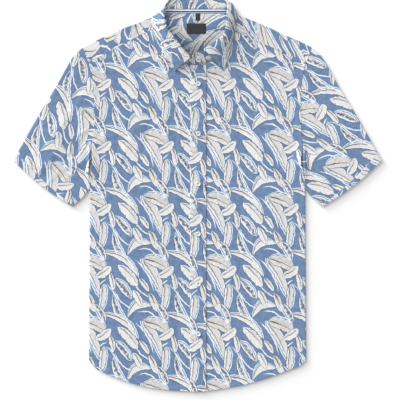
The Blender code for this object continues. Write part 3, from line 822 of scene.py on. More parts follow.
@dataclass
class FrontPanel:
    """One front of the shirt, from the hem to the yoke seam and the neck.

    Attributes:
        side: −1 on the wearer's right, 1 on the left.
        hem_x: Where its columns start at the hem.
        neck: Its neck edge.
        yoke: The arm of the yoke that it is sewn to.
        step: Longest distance between points.
        tuck_in: How far it runs on under the yoke.
    """

    side: int
    hem_x: Sequence[float]
    neck: Sequence[tuple[float, float]]
    yoke: Sequence[ArmRow]
    step: float = 3.4
    tuck_in: float = 2.5

    def tops(self, at: Array) -> Array:
        """Find the upper ends of columns, along the yoke seam and the neck edge.

        Args:
            at: Fractional column numbers.

        Returns:
            Places in plan.
        """
        seam = [(self.side * row.front_x, row.front_y) for row in reversed(self.yoke)]
        corner = len(seam) - 1
        neck = along(self.neck, np.clip(at - corner, 0.0, len(self.neck) - 1))
        seam = along(seam, np.clip(at, 0.0, corner))
        return np.where((at <= corner)[:, None], seam, neck)

    def sheet(self) -> Sheet:
        """Work out the panel.

        Returns:
            Its outer face, with rolled edges, a turned hem and the drape.
        """
        hem = np.asarray(self.hem_x, float)
        width = abs(hem[-1] - hem[0])
        index = np.interp(spaced(width, self.step), np.abs(hem - hem[0]), np.arange(len(hem)))
        hem_x = np.interp(index, np.arange(len(hem)), hem)
        tops = self.tops(index)
        tall = FRONT_CORNER_Y - SIDE_LINE[0][0]
        side_y = SIDE_LINE[0][0] + spaced(tall, self.step)
        share = ((side_y - side_y[0]) / (side_y[-1] - side_y[0]))[:, None]
        low_y = through(HEM, hem_x)
        high_y = tops[:, 1] + self.tuck_in * (index <= len(self.yoke) - 1)
        y = low_y + (high_y - low_y) * share
        straight = hem_x + (tops[:, 0] - hem_x) * share
        bow = self.side * side_line(side_y)[:, None] - straight[:, :1]
        fade = (1.0 - index / (len(hem) - 1)) ** 2
        x = straight + bow * fade
        parting = PARTINGS[self.side]
        gap = parting.share(y)
        x = x - self.side * parting.draw * gap * near(np.abs(x - x[:, :1]), 40.0)
        from_side, from_front = np.abs(x - x[:, :1]), np.abs(x - x[:, -1:])
        from_hem = y - low_y
        open_side = smoothstep((side_y[:, None] - UNDERARM_Y + 6.0) / 12.0)
        height = UPPER + drape(x, y)
        height -= rolled(from_side, SIDE_ROLL, 1.12) * (1.0 - open_side)
        lap = LAP_RISE * near(from_side, LAP_WIDTH) - rolled(from_side, *LAP_EDGE)
        height += lap * open_side
        height += parting.rise * gap * near(from_side, 24.0)
        height -= rolled(from_hem, HEM_ROLL, 0.22) + rolled(from_front, 0.8, 0.2)
        turned = near(from_hem - HEM_TURN, 1.4)
        height += 0.22 * turned - 0.14 * bell(from_hem - HEM_STITCH, GROOVE)
        height += self.roping(x, from_hem) - 0.55 * near(y[-1:] - y, 5.0)
        thickness = FINE_CLOTH + 0.3 * turned
        return Sheet(join(x, y, height), join(x, y), np.broadcast_to(thickness, x.shape),
                     level=True)

    def roping(self, x: Array, from_hem: Array) -> Array:
        """Find the slanted ripples that a turned hem gets where it is curved.

        Args:
            x: Places across the shirt.
            from_hem: Distance from the hem.

        Returns:
            Their height: a wave of wandering length, slanted to the hem.
        """
        wave = np.sin(x / 1.7 + from_hem / 2.4 + 1.8 * np.sin(x / 19.0))
        strength = 0.5 + 0.5 * np.sin(x / 37.0 + 1.0)
        return 0.09 * wave * strength * near(from_hem, ROPED)

    def seams(self, sheet: Sheet) -> list[Line]:
        """Find the line of stitches along the hem."""
        return [hem_stitches(sheet)]


@dataclass
class BackPanel:
    """The back below the yoke, which lies on the surface.

    Attributes:
        step: Longest distance between points.
    """

    step: float = 5.0

    def sheet(self) -> Sheet:
        """Work out the panel.

        Returns:
            Its upper face, with side edges rolled up to meet the fronts.
        """
        hem = np.asarray(HEM, float)
        across = hem[0, 0] + spaced(hem[-1, 0] - hem[0, 0], self.step)
        top = YOKE_SEAM_Y + 3.0
        side_y = hem[0, 1] + spaced(top - hem[0, 1], self.step)
        share = ((side_y - side_y[0]) / (side_y[-1] - side_y[0]))[:, None]
        low_y = through(hem, across)
        y = low_y + (top - low_y) * share
        x = across / side_line(side_y[0]) * side_line(side_y)[:, None]
        from_side = np.minimum(np.abs(x - x[:, :1]), np.abs(x - x[:, -1:]))
        inside = smoothstep(from_side / 20.0) * smoothstep((y - low_y) / 20.0)
        arch = np.maximum(ridges(BACK_CREASES, x, y), 0.0) * inside
        roll = rolled(from_side, SIDE_ROLL, 0.52)
        height = FINE_CLOTH + arch + roll - rolled(y - low_y, HEM_ROLL, 0.18)
        height += 0.25 * near(top - y, 4.0)
        return Sheet(join(x, y, height), join(-x, y), np.full(x.shape, FINE_CLOTH),
                     level=True, wrong=(1.0, 0.0))

    def seams(self, sheet: Sheet) -> list[Line]:
        """Find the line of stitches along the hem, on the face that is turned down."""
        place, normal = hem_stitches(sheet)
        return [(place - FINE_CLOTH * UP, -normal)]


@dataclass
class Placket:
    """The buttonhole strip, which stands a layer above the right front.

    Attributes:
        step: Longest distance between points.
        stitch_in: From its edges to its stitches.
        cloth: Its thickness, folded double.
        cut_at: Where it is cut from the printed cloth.
    """

    step: float = 3.0
    stitch_in: float = 5.0
    cloth: float = 1.15
    cut_at: tuple[float, float] = (72.0, 23.0)

    def sheet(self) -> Sheet:
        """Work out the strip.

        Returns:
            Its outer face, drawn in along both lines of stitches.
        """
        width = PLACKET_SEAM_X - PLACKET_EDGE_X
        across = spaced(width, 1.6)
        x = (PLACKET_EDGE_X + across)[None, :]
        low = through(HEM, x)
        run = spaced(PLACKET_TOP_Y - float(low.min()), self.step)
        y = low + (PLACKET_TOP_Y - low) * (run / run[-1])[:, None]
        x = np.broadcast_to(x, y.shape)
        edge = np.minimum(x - PLACKET_EDGE_X, PLACKET_SEAM_X - x)
        dimple = bell(edge - self.stitch_in, 1.0)
        height = UPPER + PLACKET_RISE + drape(x, y)
        height -= rolled(edge, 1.1, 0.45) + rolled(y - low, HEM_ROLL, 0.25)
        height -= 0.55 * near(x - PLACKET_EDGE_X, 4.5)
        height -= dimple * (0.2 + 0.07 * np.sin(y / 1.3 + 2.0 * np.sin(y / 17.0)))
        ripple = np.sin(y / 2.6 + 1.6 * np.sin(y / 31.0) + x / 9)
        height += 0.06 * near(edge, self.stitch_in) * ripple
        height -= 0.16 * bell(y - low - HEM_STITCH, GROOVE)
        grain = join(x, y) + self.cut_at
        return Sheet(join(x, y, height), grain, np.full(x.shape, self.cloth), level=True,
                     wrong=(0.0, 0.0))

    def seams(self, sheet: Sheet) -> list[Line]:
        """Find the two lines of stitches.

        Args:
            sheet: The strip's face.

        Returns:
            Points and normals of each line.
        """
        rows, columns = sheet.top.shape[:2]
        row = np.linspace(2.0, rows - 3.0, 2 * rows)
        x = (PLACKET_EDGE_X + self.stitch_in, PLACKET_SEAM_X - self.stitch_in)
        return [sheet.at(row, np.full(row.shape, column))
                for column in np.interp(x, sheet.top[0, :, 0], np.arange(columns))]


@dataclass
class Yoke:
    """The shoulder yoke: across the back, over both shoulders, onto the fronts.

    Attributes:
        arm_columns: Columns of points over each arm.
        middle_columns: Columns between them.
        under_rows: Rows up the under layer.
        over_rows: Rows down the upper layer.
        lap: How far its front edge runs over the fronts.
        stitch_in: From that edge to its stitches.
    """

    arm_columns: int = 52
    middle_columns: int = 44
    under_rows: int = 26
    over_rows: int = 16
    lap: float = 1.2
    stitch_in: float = 2.0

    # Nominal lengths of an arm and of its part on the front
    ARM = 200.0
    FRONT = 30.0

    def arm(self, table: Sequence[ArmRow], side: int) -> tuple[Array, Array]:
        """Work out the columns over one arm.

        Args:
            table: The arm's rows.
            side: −1 on the wearer's right, 1 on the left.

        Returns:
            Points of the outer face, rows by columns from the neck to the
            armhole, and their distances up and over the cloth.
        """
        share = spaced(self.ARM, self.ARM / self.arm_columns) / self.ARM
        rows = along(table, share * (len(table) - 1))
        back_x, fold_x, front_x, fold_y, front_y = rows.T
        centre = fold_y - FOLD_OUT
        up = np.linspace(0.0, 1.0, self.under_rows)[:, None]
        down = spaced(self.FRONT, self.FRONT / self.over_rows)[:, None] / self.FRONT
        angle = FOLD_TURNS[:, None]
        low, high = YOKE_SEAM_Y - 1.0, front_y - self.lap
        y_under = low + (centre - low) * up
        y_over = centre + (high - centre) * down
        x_under = back_x + (fold_x - back_x) * up
        x_over = fold_x + (front_x - fold_x) * down
        end_under, end_over = y_under[:, -1:], y_over[:, -1:]
        x_under = x_under + share ** 2 * (side_line(end_under) - x_under[:, -1:])
        x_over = x_over + share ** 2 * (side_line(end_over) - x_over[:, -1:])
        x_fold = np.repeat(x_over[:1], len(angle), axis=0)
        y = np.concatenate((y_under, centre + FOLD_OUT * np.cos(angle), y_over))
        x = side * np.concatenate((x_under, x_fold, x_over))
        over = slice(len(y) - len(y_over), len(y))
        z = np.zeros_like(x)
        z[len(y_under):over.start] = FOLD_OUT * (1.0 + np.sin(angle))
        z[over] = UPPER + ridges(SWELLS, x[over], y_over) + ridges(BODY_CREASES, x[over], y_over)
        from_seam = y_over - high
        from_end = np.abs(np.abs(x[over]) - np.abs(x[over][:, -1:]))
        z[over] += (0.35 * near(from_seam, LAP_WIDTH) - rolled(from_seam, 0.9, 0.3)
                    - 0.14 * bell(from_seam - self.stitch_in, 0.8)
                    + 0.3 * near(from_end, LAP_WIDTH) - rolled(from_end, *LAP_EDGE))
        z = z + neck_lift(x, y)
        points = join(x, y, z)
        return points, measured(points)

    def sheet(self) -> Sheet:
        """Work out the yoke.

        Returns:
            Its outer face, with no cloth in front of the neck.
        """
        right, run_right = self.arm(YOKE_RIGHT, -1)
        left, run_left = self.arm(YOKE_LEFT, 1)
        rows = right.shape[0]
        x_from, x_to = right[0, 0, 0], left[0, 0, 0]
        x_top = np.linspace(x_from, x_to, self.middle_columns + 2)[1:-1]
        last = self.under_rows - 1
        neck = ((right[last, 0, 0], YOKE_RIGHT[0].fold_y), *BACK_NECK,
                (left[last, 0, 0], YOKE_LEFT[0].fold_y))
        y_top = through(neck, x_top)
        up = np.linspace(0.0, 1.0, self.under_rows)[:, None]
        y = (YOKE_SEAM_Y - 1.0) + (y_top - YOKE_SEAM_Y + 1.0) * up
        middle, run_middle = (
            np.concatenate((grid, np.repeat(grid[-1:], rows - self.under_rows, axis=0)))
            for grid in (join(x_top, y, neck_lift(x_top, y)), y - y[0]))
        top = np.concatenate((right[:, ::-1], middle, left), axis=1)
        run = np.concatenate((run_right[:, ::-1], run_middle, run_left), axis=1)
        cells = np.ones((rows - 1, top.shape[1] - 1), bool)
        first = right.shape[1] - 1
        cells[last:, first:first + self.middle_columns + 1] = False
        grain = join(run, -top[:, :, 0]) + YOKE_CUT_AT
        return Sheet(top, grain, np.full(run.shape, FINE_CLOTH), cells, flip=True)

    def seams(self, sheet: Sheet) -> list[Line]:
        """Find the lines of stitches along the two front seams.

        Args:
            sheet: The yoke's face.

        Returns:
            Points and normals of each line.
        """
        rows, columns = sheet.top.shape[:2]
        arm = (columns - self.middle_columns) // 2
        run = np.linalg.norm(sheet.top[-1] - sheet.top[-9], axis=-1)
        return [sheet.at(rows - 1 - 8.0 * self.stitch_in / run[column], column)
                for column in (np.arange(2, arm - 2), np.arange(columns - arm + 2, columns - 3))]


@dataclass
class Sleeve:
    """A short sleeve: a flattened tube, open at the armhole and at the hem.

    Attributes:
        side: −1 on the wearer's right, 1 on the left.
        cut_at: Where it is cut from the printed cloth.
        step: Longest distance between points along it.
        around: Points over each layer.
        tuck_in: How far its cap runs in under the body.
    """

    side: int
    cut_at: tuple[float, float]
    step: float = 3.4
    around: int = 84
    tuck_in: float = 2.4

    # Closer stations from the armhole, over the low part of the gap and its walls
    GAP_STATIONS = (2.2, 3.6, 4.4, 5.3, 7.2, 8.2, 11.5)
    REACH = float(np.linalg.norm(np.diff(OVERARM, axis=0), axis=1).sum())

    def plan(self, share: Array, run: Array) -> Array:
        """Find places in plan, as a patch blended from its four edges.

        Args:
            share: From the shoulder edge, 0, to the underarm, 1.
            run: From the armhole, 0, to the hem, 1.

        Returns:
            Places in plan for the wearer's left.
        """
        share, run = np.broadcast_arrays(share, run)
        top, low = np.asarray(OVERARM, float), np.asarray(UNDERARM, float)
        place_top, place_low = (
            along(edge, run.ravel() * (len(edge) - 1)).reshape(run.shape + (2,))
            for edge in (top, low))
        arm_y = SHOULDER_POINT_Y + (UNDERARM_Y - SHOULDER_POINT_Y) * share
        armhole = join(side_line(arm_y) + GAP, arm_y)
        line = top[-1] + (low[-1] - top[-1]) * share[..., None]
        across = unit(low[-1] - top[-1])
        outward = np.array((-across[1], across[0]))
        hem = line + outward * SLEEVE_HEM_BOW * np.sin(math.pi * share)[..., None]
        share, run = share[..., None], run[..., None]
        corners = ((1 - share) * (1 - run) * top[0] + share * (1 - run) * low[0]
                   + (1 - share) * run * top[-1] + share * run * low[-1])
        return ((1 - run) * armhole + run * hem + (1 - share) * place_top
                + share * place_low - corners)

    def sheet(self) -> Sheet:
        """Work out the tube.

        Returns:
            Its outer face: under layer, underarm, upper layer, shoulder edge.
        """
        stitch = self.REACH - SLEEVE_HEM_TURN
        added = (*self.GAP_STATIONS, stitch - 0.6, stitch, stitch + 0.5)
        distance = np.sort(np.concatenate((spaced(self.REACH, self.step), added)))
        run = (distance / self.REACH)[:, None]
        width = np.linalg.norm(self.plan(0.0, run[:, 0]) - self.plan(1.0, run[:, 0]), axis=-1)
        tuck = (FOLD_OUT / width)[:, None]
        angle = FOLD_TURNS[None, :]
        share = np.linspace(0.0, 1.0, self.around)[None, :]
        flat = tuck + share * (1.0 - 2.0 * tuck)
        turn = tuck * np.cos(angle)
        around = np.concatenate((flat, 1.0 - tuck + turn, flat[:, ::-1], tuck - turn), axis=1)
        bend = np.broadcast_to(FOLD_OUT * (1.0 + np.sin(angle)), turn.shape)
        level = np.zeros(flat.shape)
        height = np.concatenate((level, bend, level + UPPER, bend[:, ::-1]), axis=1)
        place = self.plan(around, run)
        x, y = place[..., 0], place[..., 1]
        upper = slice(self.around + angle.size, 2 * self.around + angle.size)
        from_arm, from_hem = distance[:, None], (self.REACH - distance)[:, None]
        x = x - self.tuck_in * near(from_arm, 9.0)
        # The upper layer alone, changed in place
        over_x, over_y, over, share = (grid[:, upper] for grid in (x, y, height, around))
        parting = PARTINGS[self.side]
        gap = parting.share(over_y)
        crest = parting.floor + parting.wall
        fall = np.where(from_arm < crest, parting.wall, 9.0)
        over_x -= gap * (parting.draw * near(from_arm, 12.0)
                         + parting.overhang * bell(from_arm - crest, fall))
        off_fold = np.minimum(share, 1.0 - share) * width[:, None]
        over += ridges(SWELLS, self.side * over_x, over_y)
        over += ridges(SLEEVE_CREASES, over_x, over_y) * smoothstep(off_fold / 9.0)
        over -= 0.75 * near(from_arm, LAP_WIDTH) * smoothstep(off_fold / 5.0)
        over -= 0.6 * gap * near(from_arm - parting.floor, 2.5)
        climb = smoothstep((from_arm - parting.floor) / parting.wall)
        climb = climb * bell(np.maximum(from_arm - crest, 0.0), 15.0)
        over += parting.swell * gap * climb
        over[:] = np.maximum(over, 2.0 * FINE_CLOTH + 0.05)
        groove = bell(from_hem - SLEEVE_HEM_TURN, GROOVE)
        over -= groove * (0.32 + 0.06 * np.sin(share * 330.0))
        over -= rolled(from_hem, 1.0, 0.3)
        turned = near(from_hem - SLEEVE_HEM_TURN, 1.2)
        over += 0.2 * turned
        thickness = np.broadcast_to(FINE_CLOTH + 0.25 * turned, height.shape)
        grain = self.grain(x, y, from_hem)
        return Sheet(join(self.side * x, y, height), grain, thickness, tube=True,
                     flip=self.side > 0)

    def grain(self, x: Array, y: Array, from_hem: Array) -> Array:
        """Place the sleeve on its cloth, with the turned hem cut from another part.

        Args:
            x: Distances from the shirt's centre.
            y: Places along the shirt.
            from_hem: Distance from the hem.

        Returns:
            Places on the flat cloth, turned to follow the arm.
        """
        turn = math.radians(30.0 * self.side)
        across = self.side * x
        u = across * math.cos(turn) + y * math.sin(turn) + self.cut_at[0]
        v = y * math.cos(turn) - across * math.sin(turn) + self.cut_at[1]
        hem = from_hem < SLEEVE_HEM_TURN - 0.1
        return join(u + 47.0 * hem, v + 18.0 * hem)

    def seams(self, sheet: Sheet) -> list[Line]:
        """Find the lines of stitches of the turned hem on both layers.

        Args:
            sheet: The sleeve's face.

        Returns:
            Points and normals of each line.
        """
        first = self.around + len(FOLD_TURNS)
        upper = np.arange(first + 4, first + self.around - 4)
        run = measured(sheet.top[:, first + self.around - 2])
        row = np.interp(run[-1] * (1.0 - SLEEVE_HEM_TURN / self.REACH), run, np.arange(len(run)))
        under = np.arange(4, self.around - 4)
        return [sheet.at(np.full(layer.shape, row), layer) for layer in (upper, under)]


@dataclass
class Collar:
    """The collar stand and the leaf that turns down over it.

    Attributes:
        sections: Sections between two rows of the table.
        crown_rows: Points from the fold to the bulge of the leaf.
        edge_rows: Points from the bulge to the edge.
        stand_rows: Points up the stand.
        cloth: Thickness of both, which hold an interlining.
        stitch_in: From the leaf's edge to its stitches.
    """

    sections: int = 9
    crown_rows: int = 12
    edge_rows: int = 16
    stand_rows: int = 12
    cloth: float = 1.15
    stitch_in: float = 6.0

    @staticmethod
    def square_to_fold(fold: Array, direction: Array) -> Array:
        """Find the part of the directions that is square to the fold line, at length one."""
        tangent = unit(np.gradient(fold, axis=0))
        return unit(direction - tangent * np.sum(direction * tangent, axis=-1, keepdims=True))

    @staticmethod
    def distances(middle: Array) -> tuple[Array, Array]:
        """Measure how far each point of a grid is from its first and its last row."""
        run = measured(middle)
        return run, run[-1:] - run

    def stations(self, count: int) -> Array:
        """Space the sections along a table, closer at both ends.

        Args:
            count: Number of rows of the table.

        Returns:
            Fractional row numbers.
        """
        last = count - 1
        inner = np.linspace(0.12, last - 0.12, self.sections * last)
        return np.concatenate(([0.0, 0.015, 0.045], inner, [last - 0.045, last - 0.015, last]))

    def leaf(self) -> Sheet:
        """Work out the leaf: over the fold and down to its edge, with two points.

        Returns:
            Its outer face.
        """
        table = [(*row.neck, *row.fold, *row.edge, row.crown_at, row.crown_rise)
                 for row in COLLAR]
        sections = along(table, self.stations(len(table)))
        neck, fold, edge, crown_at, crown_rise = np.split(sections, (3, 6, 9, 10), axis=1)
        rise = self.square_to_fold(fold, fold - neck)
        crown = fold + (edge - fold) * crown_at
        crown[:, 2:] += crown_rise
        leave, cross = rise * LEAF_TURN, (edge - fold) / 2
        shares = np.linspace(0.0, 1.0, self.edge_rows)
        shares = np.concatenate((shares[1:-1], (0.97, 0.985, 0.995, 1.0)))
        rows = [fold - rise * LEAF_SEAM_DROP]
        rows += [hermite(fold, leave, crown, cross, share)
                 for share in np.linspace(0.0, 1.0, self.crown_rows)]
        rows += [hermite(crown, cross, edge, edge - crown, share) for share in shares]
        return self.padded(np.stack(rows, axis=0))

    def padded(self, middle: Array, band: bool = False) -> Sheet:
        """Give a middle surface the thickness of two cloths with a rounded edge.

        Args:
            middle: Its points. The last row and both sides are free edges.
            band: Whether the first row is one too, and the others are less rounded.

        Returns:
            The sheet.
        """
        down, from_edge = self.distances(middle)
        start, end = self.distances(np.swapaxes(middle, 0, 1))
        from_edge = np.minimum(from_edge, np.minimum(start, end).T)
        if band:
            from_edge = np.minimum(from_edge + 0.35, down)
        edge = np.clip(from_edge / 0.9, 0.0, 1.0)
        dimple = 0.3 * bell(from_edge - self.stitch_in, GROOVE)
        thickness = self.cloth * (0.25 + 0.75 * np.sqrt(1.0 - (1.0 - edge) ** 2)) - dimple
        normal = Sheet(middle, middle[..., :2], thickness).normals()
        grain = join(measured(middle[self.crown_rows // 2]), -down + 38.0)
        return Sheet(middle + normal * thickness[..., None] / 2, grain, thickness,
                     wrong=(0.0, 0.0))

    def leaf_seams(self, sheet: Sheet) -> list[Line]:
        """Find the stitches along both front edges and the outer edge of the leaf.

        Args:
            sheet: The leaf's face.

        Returns:
            Points and normals of one line from end to end.
        """
        rows, columns = sheet.top.shape[:2]
        _, from_edge = self.distances(sheet.top)
        row = reached(-from_edge, -self.stitch_in)
        start, end = self.distances(np.swapaxes(sheet.top, 0, 1))
        height, column = np.arange(self.crown_rows // 2 + 2, rows), np.arange(columns)
        first = reached(start[:, height], self.stitch_in)
        last = reached(-end[:, height], -self.stitch_in)
        low_first = row[np.round(first).astype(int)]
        low_last = row[np.round(last).astype(int)]
        keep_first, keep_last = height < low_first, height < low_last
        between = (column > first[keep_first][-1]) & (column < last[keep_last][-1])
        at_row = np.concatenate((height[keep_first], row[between], height[keep_last][::-1]))
        at_column = np.concatenate((first[keep_first], column[between], last[keep_last][::-1]))
        return [sheet.at(at_row, at_column)]

    def stand(self) -> Sheet:
        """Work out the band that carries the leaf, buttoned at the throat.

        Returns:
            Its outer face.
        """
        neck = np.array([row.neck for row in COLLAR])
        fold = np.array([row.fold for row in COLLAR])
        seam = fold - self.square_to_fold(fold, fold - neck) * (LEAF_SEAM_DROP + SEAM_GAP)
        rows = np.concatenate(([(*row.neck, *row.fold) for row in STAND_UNDER],
                               np.concatenate((neck, seam), axis=1),
                               [(*row.neck, *row.fold) for row in STAND_TAB]))
        low, top = np.split(along(rows, self.stations(len(rows))), 2, axis=1)
        shares = np.linspace(0.0, 1.0, self.stand_rows)
        shares = np.concatenate(((0.0, 0.02), shares[1:-1], (0.98, 1.0)))
        middle = np.stack([low + (top - low) * share for share in shares], axis=0)
        return self.padded(middle, band=True)


class LaidStrip(NamedTuple):
    """A flat strip on the inner face of the yoke."""

    name: str
    right: float
    left: float
    low: float
    high: float
    thickness: float


TAPE = LaidStrip("neck_tape", -67, 61, 387.4, 395.6, 0.7)
LABEL_MAIN = LaidStrip("label_main", -23, 18, 344, 366, 0.8)
LABEL_SIZE = LaidStrip("label_size", -4.2, 5.6, 372, 387.1, 0.7)


def strip_sheet(strip: LaidStrip) -> Sheet:
    """Work out a strip sewn to the inner face of the yoke.

    Args:
        strip: Its place and size.

    Returns:
        Its upper face, a little puffed between its stitched edges.
    """
    x = (strip.right + spaced(strip.left - strip.right, 1.6, (0.2, 0.5, 0.9)))[None, :]
    y = (strip.low + spaced(strip.high - strip.low, 0.9, (0.2, 0.5, 0.9)))[:, None]
    aside = np.minimum(x - strip.right, strip.left - x)
    edge = np.minimum(aside, np.minimum(y - strip.low, strip.high - y))
    height = FINE_CLOTH + 0.12 + strip.thickness + neck_lift(x, y)
    height = height - rolled(edge, 0.7, 0.3) + 0.35 * smoothstep(edge / 4.0)
    height = height - 0.12 * bell(edge - 1.3, 0.5)
    return Sheet(join(x, y, height), join(x - strip.right, y - strip.low),
                 np.full(height.shape, strip.thickness), level=True)


@dataclass(frozen=True)
class Button:
    """A turned four-hole button with a raised rim and a dished middle.

    Attributes:
        radius: Outer radius.
        thick: Height of its rim.
        hole: Radius of a hole.
        depth: Depth of a hole.
        spread: From its centre to a hole.
        bar: Half the length of a bar of its thread.
        shank: From the cloth to its underside.
        sides: Points round it.
    """

    radius: float = 5.3
    thick: float = 2.1
    hole: float = 0.62
    depth: float = 0.95
    spread: float = 1.25
    bar: float = 1.45
    shank: float = 0.55
    sides: int = 56

    # Turned profile of the upper face: share of the radius, share of the height
    FACE = ((0.0, 0.60), (0.42, 0.60), (0.55, 0.66), (0.66, 0.92), (0.78, 1.0),
            (0.90, 0.93), (1.0, 0.62))

    def faces(self) -> tuple[Array, Array]:
        """Work out the button about its own axis.

        Returns:
            Its points and faces.
        """
        reach = np.concatenate((np.linspace(0.02, 0.46, 22), np.linspace(0.5, 0.94, 13),
                                (0.97, 0.99, 1.0, 0.985, 0.93, 0.8, 0.02)))
        angle = np.linspace(0.0, 2.0 * math.pi, self.sides, endpoint=False)[None, :]
        radius = self.radius * reach[:, None]
        x, y = radius * np.cos(angle), radius * np.sin(angle)
        height = through(self.FACE, reach) * self.thick
        height[-4:] = (0.42, 0.2, 0.0, 0.0)
        z = np.broadcast_to(height[:, None], x.shape).copy()
        face = slice(0, 22)
        for turn in (45.0, 135.0, 225.0, 315.0):
            centre_x = self.spread * math.cos(math.radians(turn))
            centre_y = self.spread * math.sin(math.radians(turn))
            off = np.hypot(x[face] - centre_x, y[face] - centre_y)
            wall = smoothstep((off - 0.55 * self.hole) / (0.6 * self.hole))
            z[face] -= self.depth * (1.0 - wall)
        points = join(x, y, np.maximum(z, 0.12 * (np.arange(len(reach)) < 36)[:, None]))
        rings, sides = x.shape
        ring, step = np.meshgrid(np.arange(rings - 1), np.arange(sides), indexing="ij")
        beside = (step + 1) % sides
        quads = np.stack((ring * sides + step, (ring + 1) * sides + step,
                          (ring + 1) * sides + beside, ring * sides + beside), axis=-1)
        half = np.arange(0, sides // 2 - 1)
        ends = []
        for base, flip in ((0, False), ((rings - 1) * sides, True)):
            cap = np.stack((base + half, base + half + 1, base + sides - 2 - half,
                            base + sides - 1 - half), axis=-1)
            ends.append(cap[:, ::-1] if flip else cap)
        return points.reshape(-1, 3), np.concatenate((quads.reshape(-1, 4), *ends))

    def thread(self) -> tuple[Array, Array]:
        """Work out the thread that crosses between the holes.

        Returns:
            Points and faces of two pairs of crossing bars.
        """
        long = 2.0 * self.bar
        sewing = Seamstress(pitch=long, length=long, width=0.55, sink=0.35, rise=0.3)
        rows = []
        level = 0.60 * self.thick
        for turn, high in ((45.0, 0.0), (135.0, 0.16)):
            for aside in (-0.2, 0.2):
                cos, sin = math.cos(math.radians(turn)), math.sin(math.radians(turn))
                ends = np.array(((-self.bar, aside), (self.bar, aside)))
                place = np.stack((ends[:, 0] * cos - ends[:, 1] * sin,
                                  ends[:, 0] * sin + ends[:, 1] * cos,
                                  np.full(2, level + high)), axis=-1)
                rows.append(sewing.row(place, np.array((UP, UP))))
        return gather(rows)


def set_down(points: Array, place: Array, lean: float, turn: float) -> Array:
    """Turn a small part about its own axis, lean it back about X and set it down.

    Args:
        points: Its points about its own axis.
        place: Where its base goes.
        lean: Lean about X in radians.
        turn: Turn about its axis in radians.

    Returns:
        The moved points.
    """
    cos, sin = math.cos(turn), math.sin(turn)
    x, y = points[:, 0] * cos - points[:, 1] * sin, points[:, 0] * sin + points[:, 1] * cos
    cos, sin = math.cos(lean), math.sin(lean)
    return join(x, y * cos - points[:, 2] * sin, y * sin + points[:, 2] * cos) + place


@dataclass(frozen=True)
class Buttonhole:
    """A worked slit: two rows of satin stitches and a bar at both ends.

    Attributes:
        length: Its whole length.
        width: Its whole width.
        pitch: From one stitch to the next.
    """

    length: float = 14.0
    width: float = 2.6
    pitch: float = 0.42

    def rows(self, centre: Array) -> list[tuple[Array, Array]]:
        """Work out the stitches, for a slit that runs along Y.

        Args:
            centre: Middle of the slit on the cloth.

        Returns:
            Points and faces of all its stitches.
        """
        up = np.array((UP, UP))
        half = self.width / 2
        satin = Seamstress(pitch=9.0, length=half - 0.16, width=0.4, sink=0.05, rise=0.22)
        rows = []
        for y in np.arange(-self.length / 2, self.length / 2, self.pitch):
            for side in (-1.0, 1.0):
                ends = ((side * half, y, 0.0), (side * 0.16, y + 0.08, 0.0))
                rows.append(satin.row(centre + ends, up))
        bar = Seamstress(pitch=9.0, length=self.width, width=0.45, sink=0.05, rise=0.26)
        for end in (-self.length / 2, self.length / 2):
            for y in (-0.35, 0.0, 0.35):
                ends = ((-half, end + y, 0.0), (half, end + y, 0.0))
                rows.append(bar.row(centre + ends, up))
        return rows


def gather(parts: Sequence[tuple[Array, Array]]) -> tuple[Array, Array]:
    """Join several small shapes into one.

    Args:
        parts: Points and faces of each.

    Returns:
        All the points and all the faces.
    """
    first = np.cumsum([0] + [len(points) for points, _ in parts[:-1]])
    faces = np.concatenate([part[1] + low for part, low in zip(parts, first)])
    return np.concatenate([part[0] for part in parts]), faces


# ---------------------------------------------------------------- shader nodes
Value = Socket | float | tuple[float, ...]


def linear(colour: tuple[int, int, int], light: float = 1.0) -> tuple[float, ...]:
    """Turn a screen colour into a linear one.

    Args:
        colour: Red, green and blue from 0 to 255.
        light: Brightness that it is brought to.

    Returns:
        The linear colour with full cover.
    """
    share = np.array(colour) / 255.0
    value = np.where(share <= 0.04045, share / 12.92, ((share + 0.055) / 1.055) ** 2.4)
    return (*(value * light).tolist(), 1.0)


